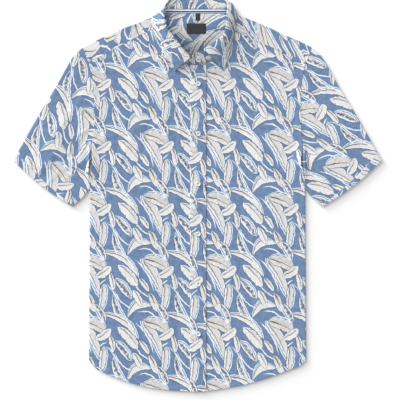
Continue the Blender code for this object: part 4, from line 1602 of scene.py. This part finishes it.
class Graph:
    """Writes shader nodes into a tree, one call for each."""

    def __init__(self, tree: bpy.types.NodeTree) -> None:
        """Start writing into a tree."""
        self.tree = tree

    def plug(self, end: Socket, value: Value) -> None:
        """Link a socket or give it a constant.

        Args:
            end: The input.
            value: A socket, a number or a tuple.
        """
        if isinstance(value, bpy.types.NodeSocket):
            self.tree.links.new(value, end)
        elif end.type == "VECTOR" and not isinstance(value, tuple):
            end.default_value = (value, value, value)
        else:
            end.default_value = value

    def add(self, kind: str, *values: Value, **settings: object) -> bpy.types.Node:
        """Add a node.

        Args:
            kind: Its type name without the leading ShaderNode.
            values: Its first inputs in their order.
            settings: Its settings.

        Returns:
            The node.
        """
        node = self.tree.nodes.new("ShaderNode" + kind)
        for name, value in settings.items():
            setattr(node, name, value)
        for end, value in zip(node.inputs, values):
            self.plug(end, value)
        return node

    def fill(self, node: bpy.types.Node, values: dict[str, Value]) -> None:
        """Link a node's inputs or give them constants, by their names."""
        for name, value in values.items():
            self.plug(node.inputs[name], value)

    def vector(self, operation: str, *values: Value) -> Socket:
        """Add an operation on vectors."""
        return self.add("VectorMath", *values, operation=operation).outputs["Vector"]

    def scalar(self, operation: str, *values: Value, clamp: bool = False) -> Socket:
        """Add an operation on numbers, whose result may be held between 0 and 1."""
        node = self.add("Math", *values, operation=operation, use_clamp=clamp)
        return node.outputs["Value"]

    def join(self, *values: Value) -> Socket:
        """Combine three numbers into a vector."""
        return self.add("CombineXYZ", *values).outputs[0]

    def split(self, vector: Socket) -> tuple[Socket, Socket, Socket]:
        """Separate a vector into its three numbers."""
        return tuple(self.add("SeparateXYZ", vector).outputs)

    def hold(self, value: Socket) -> Socket:
        """Hold a vector between 0 and 1."""
        return self.vector("MAXIMUM", self.vector("MINIMUM", value, 1.0), 0.0)

    def noise(self, place: Value, scale: float, detail: float = 2.0) -> bpy.types.Node:
        """Add a noise texture.

        Args:
            place: Where it is read.
            scale: Its scale.
            detail: Its detail.

        Returns:
            The node.
        """
        node = self.add("TexNoise", place)
        self.fill(node, {"Scale": scale, "Detail": detail})
        return node

    def mix(self, factor: Value, first: Value, second: Value) -> Socket:
        """Mix two colours.

        Args:
            factor: Share of the second.
            first: First colour.
            second: Second colour.

        Returns:
            The mixed colour.
        """
        node = self.add("Mix", factor, data_type="RGBA")
        self.plug(node.inputs[6], first)
        self.plug(node.inputs[7], second)
        return node.outputs[2]


class Leaf(NamedTuple):
    """A leaf of the printed repeat, in millimetres and degrees."""

    u: float        # its middle on the repeat
    v: float
    turn: float     # direction from its base to its tip
    length: float
    width: float
    bend: float     # how far its middle bows off a straight line
    blunt: float    # how full its ends are
    taper: float    # how far its fullest part is moved to the tip
    rib: float      # how far its midrib bows to one side
    hollow: float   # 1 where the ground shows through its middle
    halo: float     # side that has a thin pale outline
    mottle: float   # how far worn it is
    tear: float     # depth of the splits in its edge


REPEAT = 134.0
LEAVES = tuple(starmap(Leaf, (
    (20, 92, -60, 80, 2.8, 7, 0.9, 0, 0, 0, 0, 0, 0),
    (112, 40, -44, 60, 2.4, -8, 0.9, 0, 0, 0, 0, 0, 0),
    (60, 72, 44, 34, 2.4, 2.5, 0.9, 0, 0, 0, 0, 0, 0),
    (18, 61, -40, 54, 2.4, -6, 0.9, 0, 0, 0, 0, 0, 0),
    (28, 5, -24, 46, 2.6, 9, 0.9, 0, 0, 0, 0, 0, 0),
    (86, 48, -62, 60, 2.4, 6, 0.9, 0, 0, 0, 0, 0, 0),
    (19, 73, -54, 34, 10.5, 1.5, 0.7, 0.1, 0.8, 0, 0, 0.2, 0),
    (100, 22, -66, 66, 14, -6, 0.5, 0.25, 0.6, 1, 1, 0.1, 0),
    (38, 35, -68, 44, 14, 2, 0.5, 0.1, 0.9, 0, 0, 0.9, 0),
    (83, 80, -78, 40, 11, 2, 0.7, 0.1, 1.4, 0, 0, 0.3, 1.5),
    (36, 89, -62, 92, 18, 8, 0.9, -0.35, -3.6, 0, -1, 0.15, 1.8),
    (45, 117, -24, 58, 23, 6, 0.8, 0, -2.5, 0, 1, 1, 2.4),
    (10, 15, 26, 54, 16, 15, 0.5, 0.15, 5, 0, 1, 0.1, 0),
    (5, 44, -62, 38, 14.5, 1, 0.7, 0, 1.5, 0, 0, 0.1, 1.8),
    (101, 117, -34, 94, 12.5, 14, 0.4, 0.1, 2, 0, 1, 0.3, 0),
    (118, 92, -48, 62, 20, 3, 0.95, 0.1, 3.2, 0, 0, 0.15, 3),
    (108, 64, -52, 54, 15, 2, 0.6, 0, 0, 1, 1, 0, 0),
    (66, 101, 34, 40, 17, -3.5, 0.9, 0.05, 2.4, 0, 0, 0.1, 1.8),
    (63, 46, -96, 56, 13.5, 1.5, 0.9, -0.1, -2.2, 0, 1, 0.1, 1.8),
    (58, 12, -60, 48, 13, 3, 0.6, 0.1, 1, 1, -1, 0.1, 0),
    (128, 120, -52, 40, 2.4, -5, 0.9, 0, 0, 0, 0, 0, 0),
)))


@dataclass(frozen=True)
class LeafPrint:
    """An all-over leaf print: pale leaves with dark ribs and outlines.

    Attributes:
        ground: Colour between the leaves.
        deep: Its darker patches.
        pale: Colour of the leaves.
        rim: Colour of their edges and of the lines beside them.
        ink: Colour of the ribs and outlines.
        worn: Colour of the mottled leaves.
        soft: Width over which an edge of colour fades.
        light: Brightness of all colours.
    """

    ground: tuple[int, int, int] = (121, 148, 185)
    deep: tuple[int, int, int] = (102, 129, 168)
    pale: tuple[int, int, int] = (254, 255, 255)
    rim: tuple[int, int, int] = (232, 244, 255)
    ink: tuple[int, int, int] = (86, 85, 84)
    worn: tuple[int, int, int] = (198, 182, 166)
    soft: float = 0.45
    light: float = 0.815

    FIELDS = ("Middle U", "Middle V", "Cosine", "Sine", "Reach", "Half width", "Bend",
              "Blunt", "Taper", "Rib", "Hollow", "Halo", "Mottle", "Tear", "Outline")

    def group(self) -> bpy.types.NodeTree:
        """Write the group that draws three leaves at once, one in each lane.

        Returns:
            The group, which lays its leaves over those drawn so far.
        """
        tree = bpy.data.node_groups.new("leaf_trio", "ShaderNodeTree")
        face = tree.interface
        for name in ("U", "V", "Wear", "Drawn", *self.FIELDS):
            kind = "NodeSocketFloat" if name in ("U", "V", "Wear") else "NodeSocketVector"
            face.new_socket(name, in_out="INPUT", socket_type=kind)
        face.new_socket("Drawn", in_out="OUTPUT", socket_type="NodeSocketVector")
        graph = Graph(tree)
        given = tree.nodes.new("NodeGroupInput").outputs
        vector, hold = graph.vector, graph.hold
        times, plus, less, fused = (partial(vector, name) for name in
                                    ("MULTIPLY", "ADD", "SUBTRACT", "MULTIPLY_ADD"))
        # Places along and off the leaf, on a cloth that repeats itself
        half = REPEAT / 2
        off_u = vector("WRAP", less(given["U"], given["Middle U"]), half, -half)
        off_v = vector("WRAP", less(given["V"], given["Middle V"]), half, -half)
        run = fused(off_u, given["Cosine"], times(off_v, given["Sine"]))
        off = less(times(off_v, given["Cosine"]), times(off_u, given["Sine"]))
        share = times(run, given["Reach"])
        share = vector("MAXIMUM", vector("MINIMUM", share, 1.25), -1.25)
        # Its fullness: (1 − share²) · (1 + blunt · share²) · (1 + taper · share)
        square = times(share, share)
        rest = less(1.0, square)
        off = less(off, times(given["Bend"], rest))
        full = times(rest, fused(given["Blunt"], square, 1.0))
        full = times(full, fused(given["Taper"], share, 1.0))
        # Its depth: half width · fullness − distance, with splits between the veins
        aside = vector("ABSOLUTE", off)
        vein = vector("SINE", fused(aside, -0.55, times(run, 0.42)))
        whole = less(times(given["Half width"], full), aside)
        split = hold(fused(vein, 10.0, -9.0))
        inside = less(whole, times(split, given["Tear"]))
        sharp = 1.0 / self.soft

        def solid(depth: Socket) -> Socket:
            """Fill where a depth is above zero, with a soft edge."""
            return hold(fused(depth, sharp, 0.5))

        def line(distance: Socket, half_width: Value) -> Socket:
            """Draw a line along the zero of a distance."""
            return solid(less(half_width, vector("ABSOLUTE", distance)))

        # A dark outline, and a pale line beyond it on one side
        body = solid(inside)
        towards = times(off, given["Halo"])
        outline = times(line(plus(whole, 0.8), 0.7), hold(fused(towards, -0.4, 0.75)))
        outline = times(outline, times(given["Outline"], 0.8))
        halo = times(line(plus(whole, 2.7), 0.95), hold(towards))
        halo = times(halo, hold(fused(full, 4.0, 1.0)))
        # The midrib, and the opening that some leaves have round it
        off_rib = less(off, times(given["Rib"], full))
        stop = hold(fused(vector("ABSOLUTE", plus(share, 0.05)), -6.0, 5.16))
        rib = times(line(off_rib, fused(share, -0.35, 0.78)), stop)
        rib = times(rib, given["Outline"])
        band = less(times(times(given["Half width"], 0.58), full), aside)
        band = times(solid(fused(vein, 0.5, band)), given["Hollow"])
        open_middle = times(band, hold(fused(given["Wear"], -2.2, 1.4)))
        kept = times(body, less(1.0, open_middle))
        # Dusk round the base of the midrib, deeper on mottled leaves
        dusk = hold(fused(vector("ABSOLUTE", off_rib), -0.28, 1.0))
        dusk = times(dusk, hold(less(0.2, share)))
        dark = vector("MAXIMUM", rib, times(open_middle, 0.22))
        dark = times(hold(fused(dusk, times(given["Mottle"], 0.5), dark)), body)
        # Away from the edge the pale colour is duller, most on one side of the rib
        deep = hold(fused(inside, 0.625, -0.125))
        shade = fused(hold(fused(off_rib, 0.35, 0.5)), 0.16, fused(vein, 0.03, 0.04))
        shade = less(1.0, times(deep, shade))
        around = less(1.0, body)
        around_halo = times(around, halo)
        around_line = times(less(around, around_halo), outline)
        cover = plus(plus(body, around_halo), around_line)
        pale = fused(kept, shade, times(around_halo, 0.97))
        dark = fused(around_line, 0.9, dark)
        # Warm where it is worn and away from the edge, cool (below 0) along the edge
        warm = times(hold(fused(given["Mottle"], given["Wear"], times(deep, 0.36))), kept)
        warm = less(warm, fused(less(body, deep), 0.5, around_halo))
        lanes = zip(graph.split(cover), graph.split(pale), graph.split(dark), graph.split(warm))
        state = given["Drawn"]
        for lane_cover, lane_pale, lane_dark, lane_warm in lanes:
            keep = graph.scalar("SUBTRACT", 1.0, lane_cover)
            state = fused(state, keep, graph.join(lane_pale, lane_dark, lane_warm))
        result = tree.nodes.new("NodeGroupOutput")
        tree.links.new(state, result.inputs["Drawn"])
        return tree

    @staticmethod
    def fields(leaf: Leaf) -> tuple[float, ...]:
        """Work out the group's numbers for one leaf.

        Args:
            leaf: The leaf.

        Returns:
            One number for each field.
        """
        turn = math.radians(leaf.turn)
        wide = float(leaf.width > 6.0)    # stalks have no ribs or outlines
        return (leaf.u, leaf.v, math.cos(turn), math.sin(turn), 2.0 / leaf.length,
                leaf.width / 2, leaf.bend, leaf.blunt, leaf.taper, leaf.rib, leaf.hollow,
                1.5 * leaf.halo, leaf.mottle, leaf.tear, 0.85 * wide)

    def colour(self, graph: Graph, place: Socket, trio: bpy.types.NodeTree) -> Socket:
        """Write the print.

        Args:
            graph: Where it is written.
            place: Places on the flat cloth in millimetres.
            trio: The group that draws three leaves.

        Returns:
            Its colour.
        """
        wobble = graph.noise(place, 0.12, 2.0).outputs["Color"]
        place = graph.vector("MULTIPLY_ADD", graph.vector("SUBTRACT", wobble, 0.5), 5.0, place)
        across, up, _ = graph.split(place)
        wear = graph.noise(place, 0.17, 3.0).outputs["Fac"]
        wear = graph.scalar("MULTIPLY_ADD", wear, 3.0, -1.15, clamp=True)
        tone = graph.noise(place, 0.11).outputs["Fac"]
        tone = graph.scalar("MULTIPLY_ADD", tone, 3.0, -1.0, clamp=True)
        state: Value = (0.0, 0.0, 0.0)
        for first in range(0, len(LEAVES), 3):
            node = graph.add("Group", across, up, wear, state, node_tree=trio)
            lanes = zip(*(self.fields(leaf) for leaf in LEAVES[first:first + 3]))
            graph.fill(node, dict(zip(self.FIELDS, lanes)))
            state = node.outputs["Drawn"]
        pale, dark, warm = graph.split(state)
        rim = graph.scalar("MULTIPLY", warm, -0.9, clamp=True)
        worn = graph.scalar("MULTIPLY", warm, 0.6, clamp=True)
        mixed: Value = linear(self.ground, self.light)
        for share, colour in ((tone, self.deep), (pale, self.pale), (rim, self.rim),
                              (worn, self.worn), (dark, self.ink)):
            mixed = graph.mix(share, mixed, linear(colour, self.light))
        return mixed


@dataclass(frozen=True)
class Finish:
    """A plain finish.

    Attributes:
        name: Name of the material.
        colour: Its screen colour.
        roughness: Its roughness.
        sheen: Strength of its cloth sheen.
        coat: Strength of its clear coat.
        grain: Scale of its fine bumps, 0 for none.
        relief: Depth of those bumps in millimetres.
    """

    name: str
    colour: tuple[int, int, int]
    roughness: float = 0.6
    sheen: float = 0.0
    coat: float = 0.0
    grain: float = 0.0
    relief: float = 0.0

    def material(self) -> bpy.types.Material:
        """Make the material.

        Returns:
            The material.
        """
        material = bpy.data.materials.new(self.name)
        material.use_nodes = True
        graph = Graph(material.node_tree)
        shader = material.node_tree.nodes["Principled BSDF"]
        graph.fill(shader, {"Roughness": self.roughness, "Sheen Weight": self.sheen,
                            "Sheen Roughness": 0.5, "Coat Weight": self.coat,
                            "Base Color": self.paint(graph)})
        if self.relief:
            bump = graph.add("Bump")
            graph.fill(bump, {"Distance": self.relief * MM, "Strength": 0.6,
                              "Height": self.bumps(graph)})
            graph.plug(shader.inputs["Normal"], bump.outputs["Normal"])
        return material

    def paint(self, graph: Graph) -> Value:
        """Find the colour, as a constant or a socket of the graph."""
        return linear(self.colour)

    def bumps(self, graph: Graph) -> Socket:
        """Write the height of the fine bumps into the graph."""
        place = graph.add("TexCoord").outputs["Object"]
        return graph.noise(place, self.grain, 3.0).outputs["Fac"]


@dataclass(frozen=True)
class PrintedCotton(Finish):
    """Plain-woven cotton with a leaf print that follows the cloth.

    Attributes:
        thread: Width of a warp or weft thread in millimetres.
        design: The print.
        trio: The group that draws three leaves.
        faded: How far its wrong side fades to the plain colour.
        painted_shade: Strength of the painted shade on its wrong side, darkest near the seam
            that it grows from, standing in for the collar's shadow in the neck.
        reach: How far that painted shade reaches from the seam, in millimetres.
    """

    thread: float = 0.5
    design: LeafPrint = LeafPrint()
    trio: bpy.types.NodeTree | None = None
    faded: float = 0.35
    painted_shade: float = 0.0
    reach: float = 60.0

    def place(self, graph: Graph) -> Socket:
        """Read places on the flat cloth in millimetres."""
        flat = graph.add("UVMap", uv_map="grain").outputs["UV"]
        return graph.vector("MULTIPLY", flat, (1.0 / MM, 1.0 / MM, 0.0))

    def paint(self, graph: Graph) -> Value:
        """Write the print's colour.

        Args:
            graph: Where its nodes go.

        Returns:
            The colour.
        """
        place = self.place(graph)
        colour = self.design.colour(graph, place, self.trio)
        wrong = graph.add("Attribute", attribute_name="wrong_side").outputs["Fac"]
        # Painted shade: the wrong side is darkened towards the seam that it grows from, standing
        # in for the collar's shadow in the neck.
        if self.painted_shade:
            run, _, _ = graph.split(place)
            low = graph.scalar("MULTIPLY_ADD", run, -1.0 / self.reach,
                               1.45 + YOKE_CUT_AT[0] / self.reach, clamp=True)
            low = graph.scalar("MULTIPLY", low, self.painted_shade)
            keep = graph.scalar("SUBTRACT", 1.0, graph.scalar("MULTIPLY", low, wrong))
            return graph.vector("MULTIPLY", colour, keep)
        return graph.mix(graph.scalar("MULTIPLY", wrong, self.faded), colour,
                         linear(self.colour))

    def bumps(self, graph: Graph) -> Socket:
        """Write the weave: crossed threads, and small uneven wrinkles.

        Args:
            graph: Where the nodes go.

        Returns:
            Their height.
        """
        place = self.place(graph)
        wave = graph.vector("SINE", graph.vector("MULTIPLY", place, math.pi / self.thread))
        warp, weft, _ = graph.split(wave)
        weave = graph.scalar("MULTIPLY", warp, weft)
        wrinkle = graph.noise(place, 0.09, 3.0).outputs["Fac"]
        return graph.scalar("MULTIPLY_ADD", wrinkle, 3.0, graph.scalar("MULTIPLY", weave, 0.25))


@dataclass(frozen=True)
class StripedTape(Finish):
    """Contrast tape with a blue edge, a dark middle and a pale edge.

    Attributes:
        low: Height in millimetres at which the blue stripe ends.
        high: Height at which the pale stripe starts.
        blue: Colour of the lower stripe.
        pale: Colour of the upper stripe.
    """

    low: float = 3.1
    high: float = 5.5
    blue: tuple[int, int, int] = (150, 166, 196)
    pale: tuple[int, int, int] = (238, 240, 243)

    def paint(self, graph: Graph) -> Value:
        """Write the three stripes across the tape.

        Args:
            graph: Where the nodes go.

        Returns:
            The colour.
        """
        flat = graph.add("UVMap", uv_map="grain").outputs["UV"]
        _, up, _ = graph.split(flat)
        low = graph.scalar("LESS_THAN", up, self.low * MM)
        high = graph.scalar("GREATER_THAN", up, self.high * MM)
        colour = graph.mix(low, linear(self.colour), linear(self.blue))
        return graph.mix(high, colour, linear(self.pale))


@dataclass(frozen=True)
class Studio:
    """White table, soft light from the upper left and a camera straight above.

    Attributes:
        centre: Where the camera looks, in metres.
        view: Side of the square that fills the picture, in metres.
        lens: Focal length in millimetres.
        sensor: Width of the sensor in millimetres.
        table: Half the side of the table in millimetres.
        drop: How far the table lies under the shirt, for its shadow.
        white: Share of the light that the table gives back.
        room: Strength of the even light from all round.
    """

    centre: tuple[float, float] = (0.0054, -0.0134)
    view: float = 0.86
    lens: float = 85.0
    sensor: float = 36.0
    table: float = 4000.0
    drop: float = 3.0
    white: float = 0.87
    room: float = 0.40

    # Name, strength, where the light comes from and its spread in degrees
    LAMPS = (("key", 2.5, (-0.62, 0.60, 0.54), 46.0),
             ("low", 2.5, (-0.68, 0.66, 0.20), 20.0),
             ("top", 0.6, (0.05, 0.1, 1.0), 60.0))

    def floor(self) -> bpy.types.Object:
        """Lay the white table.

        Returns:
            The object.
        """
        half, low = self.table, -self.drop
        corners = np.array(((-half, -half, low), (half, -half, low),
                            (half, half, low), (-half, half, low)))
        floor = add_piece("floor", corners, np.array(((0, 1, 2, 3),)), smooth=False)
        material = bpy.data.materials.new("floor_white")
        material.use_nodes = True
        shader = material.node_tree.nodes["Principled BSDF"]
        Graph(material.node_tree).fill(shader, {"Base Color": (*[self.white] * 3, 1.0),
                                                "Roughness": 1.0, "Specular IOR Level": 0.0})
        floor.data.materials.append(material)
        return floor

    def lamp(self, name: str, energy: float, direction: tuple[float, float, float],
             spread: float) -> None:
        """Hang a sun lamp.

        Args:
            name: Its name.
            energy: Its strength.
            direction: Where its light comes from.
            spread: Its angle in degrees.
        """
        light = bpy.data.lights.new(name, "SUN")
        light.energy = energy
        light.angle = math.radians(spread)
        lamp = bpy.data.objects.new(name, light)
        x, y, z = unit(np.array(direction))
        lamp.rotation_euler = (math.acos(z), 0.0, math.atan2(x, -y))
        bpy.context.scene.collection.objects.link(lamp)

    def world(self) -> None:
        """Fill the room with even white light."""
        world = bpy.data.worlds.new("white_room")
        world.use_nodes = True
        background = world.node_tree.nodes["Background"]
        Graph(world.node_tree).fill(background, {"Color": (1.0, 1.0, 1.0, 1.0),
                                                 "Strength": self.room})
        bpy.context.scene.world = world

    def camera(self) -> None:
        """Hang the camera straight above, with a long lens."""
        data = bpy.data.cameras.new("camera")
        data.lens = self.lens
        data.sensor_width = self.sensor
        camera = bpy.data.objects.new("camera", data)
        distance = self.view * self.lens / self.sensor
        camera.location = (self.centre[0], self.centre[1], distance)
        bpy.context.scene.collection.objects.link(camera)
        bpy.context.scene.camera = camera

    def build(self) -> None:
        """Set up the table, the light and the camera."""
        self.floor()
        for lamp in self.LAMPS:
            self.lamp(*lamp)
        self.world()
        self.camera()
        bpy.context.scene.view_settings.view_transform = "Standard"


# ---------------------------------------------------------------- the shirt
class Shirt:
    """All the pieces of the shirt, with their finishes."""

    def __init__(self) -> None:
        """Make the finishes."""
        design = LeafPrint()
        cotton = {"colour": (196, 206, 220), "roughness": 0.86, "sheen": 0.12, "relief": 0.10,
                  "design": design, "trio": design.group()}
        self.cotton = PrintedCotton("printed_cotton", **cotton).material()
        # The yoke's inner face carries painted shade near the throat, standing in for the
        # collar's shadow.
        self.inside = PrintedCotton("print_inside", painted_shade=0.6, **cotton).material()
        self.tape = StripedTape("neck_tape_woven", (34, 42, 66), 0.8).material()
        self.label = Finish("label_woven", (32, 36, 42), 0.7, sheen=0.06, grain=2400.0,
                            relief=0.05).material()
        self.pearl = Finish("button_pearl", (214, 216, 213), 0.3, coat=0.25).material()
        self.thread = Finish("thread_pale", (176, 190, 210), 0.6, sheen=0.2).material()
        self.dark = Finish("thread_dark", (46, 52, 66), 0.6, sheen=0.2).material()

    def lay(self, name: str, cut: FrontPanel | BackPanel | Placket | Sleeve,
            flat: tuple[float, float], **more: object) -> None:
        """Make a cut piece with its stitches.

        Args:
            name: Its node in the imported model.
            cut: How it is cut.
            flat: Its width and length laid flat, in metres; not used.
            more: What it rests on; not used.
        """
        sheet = cut.sheet()
        piece = register(sheet.build(name + "_cloth"), Slot.COTTON, self.cotton, name)
        rows = Seamstress().sew(name + "_stitches", cut.seams(sheet))
        register(rows, Slot.COTTON, self.thread)
        sheet.area()

    def body(self) -> None:
        """Make the back, the fronts and the placket."""
        self.lay("back", BackPanel(), (0.470, 0.709))
        self.lay("front_right", FrontPanel(-1, RIGHT_HEM_X, NECK_RIGHT, YOKE_RIGHT),
                 (0.252, 0.786), rests_on=["back_cloth"])
        self.lay("front_left", FrontPanel(1, LEFT_HEM_X, NECK_LEFT, YOKE_LEFT),
                 (0.217, 0.779), rests_on=["back_cloth"])
        self.lay("placket", Placket(), (0.036, 0.702), rests_on=["front_right_cloth"])

    def yoke(self) -> None:
        """Make the yoke with the tape and the labels on its inner face."""
        yoke = Yoke()
        sheet = yoke.sheet()
        piece = register(sheet.build("yoke_cloth"), Slot.INSIDE, self.inside, "yoke")
        on_it = [register(Seamstress().sew("yoke_stitches", yoke.seams(sheet)),
                          Slot.INSIDE, self.thread)]
        for strip, slot, material in ((TAPE, Slot.TAPE, self.tape),
                                      (LABEL_MAIN, Slot.LABEL, self.label),
                                      (LABEL_SIZE, Slot.LABEL, self.label)):
            made = strip_sheet(strip).build(strip.name + "_cloth")
            on_it.append(register(made, slot, material, strip.name))
        sheet.area()

    def sleeves(self) -> None:
        """Make both sleeves."""
        self.lay("sleeve_right", Sleeve(-1, (54.0, 93.0)), (0.346, 0.303))
        self.lay("sleeve_left", Sleeve(1, (18.0, 81.0)), (0.346, 0.303))

    def collar(self) -> None:
        """Make the stand and the leaf."""
        collar = Collar()
        stand = collar.stand()
        band = register(stand.build("collar_stand_cloth"), Slot.COTTON, self.cotton,
                        "collar_stand")
        stand.area()
        leaf = collar.leaf()
        turned = register(leaf.build("collar_leaf_cloth"), Slot.COTTON, self.cotton,
                          "collar_leaf")
        rows = register(Seamstress().sew("collar_stitches", collar.leaf_seams(leaf)),
                        Slot.COTTON, self.thread)
        leaf.area()

    def closures(self) -> None:
        """Make the buttons, their thread and the buttonholes."""
        button, hole = Button(), Buttonhole()
        points, faces = button.faces()
        thread_points, thread_faces = button.thread()
        top = UPPER + PLACKET_RISE
        threads, holes, stances = [], [], []
        for index in range(BUTTON_COUNT):
            y = BUTTON_TOP_Y - index * BUTTON_PITCH
            ground = top + float(drape(np.array(BUTTON_X), np.array(y)))
            place = np.array((BUTTON_X, y, ground + button.shank))
            stances.append((f"button_{index + 1}", place, 0.0,
                            0.35 * math.sin(2.7 * index + 0.6)))
            holes.extend(hole.rows(np.array((BUTTON_X, y - HOLE_DROP, ground + 0.05))))
        # The collar's button lies on the tab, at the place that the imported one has
        low, high = (np.array(corner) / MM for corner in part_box("button_collar"))
        rise = unit(np.array(STAND_TAB[0].fold) - STAND_TAB[0].neck)
        place = (low + high) / 2 - np.array((0.0, -rise[2], rise[1])) * HALF_BUTTON
        stances.append(("button_collar", place, math.atan2(rise[2], rise[1]), 0.3))
        for name, *stance in stances:
            piece = add_piece(name + "_pearl", set_down(points, *stance), faces)
            register(piece, Slot.BUTTON, self.pearl, name)
            threads.append((set_down(thread_points, *stance), thread_faces))
        register(add_piece("button_threads", *gather(threads)), Slot.BUTTON, self.dark)
        register(add_piece("buttonholes", *gather(holes)), Slot.COTTON, self.thread)

    def build(self) -> None:
        """Make every piece, from the back to the buttons."""
        self.body()
        self.yoke()
        self.sleeves()
        self.collar()
        self.closures()


def main() -> None:
    """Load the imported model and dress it."""
    logging.basicConfig(level=logging.INFO, format="%(name)s %(message)s")
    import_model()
    Studio().build()
    Shirt().build()


if __name__ == "__main__":
    main()
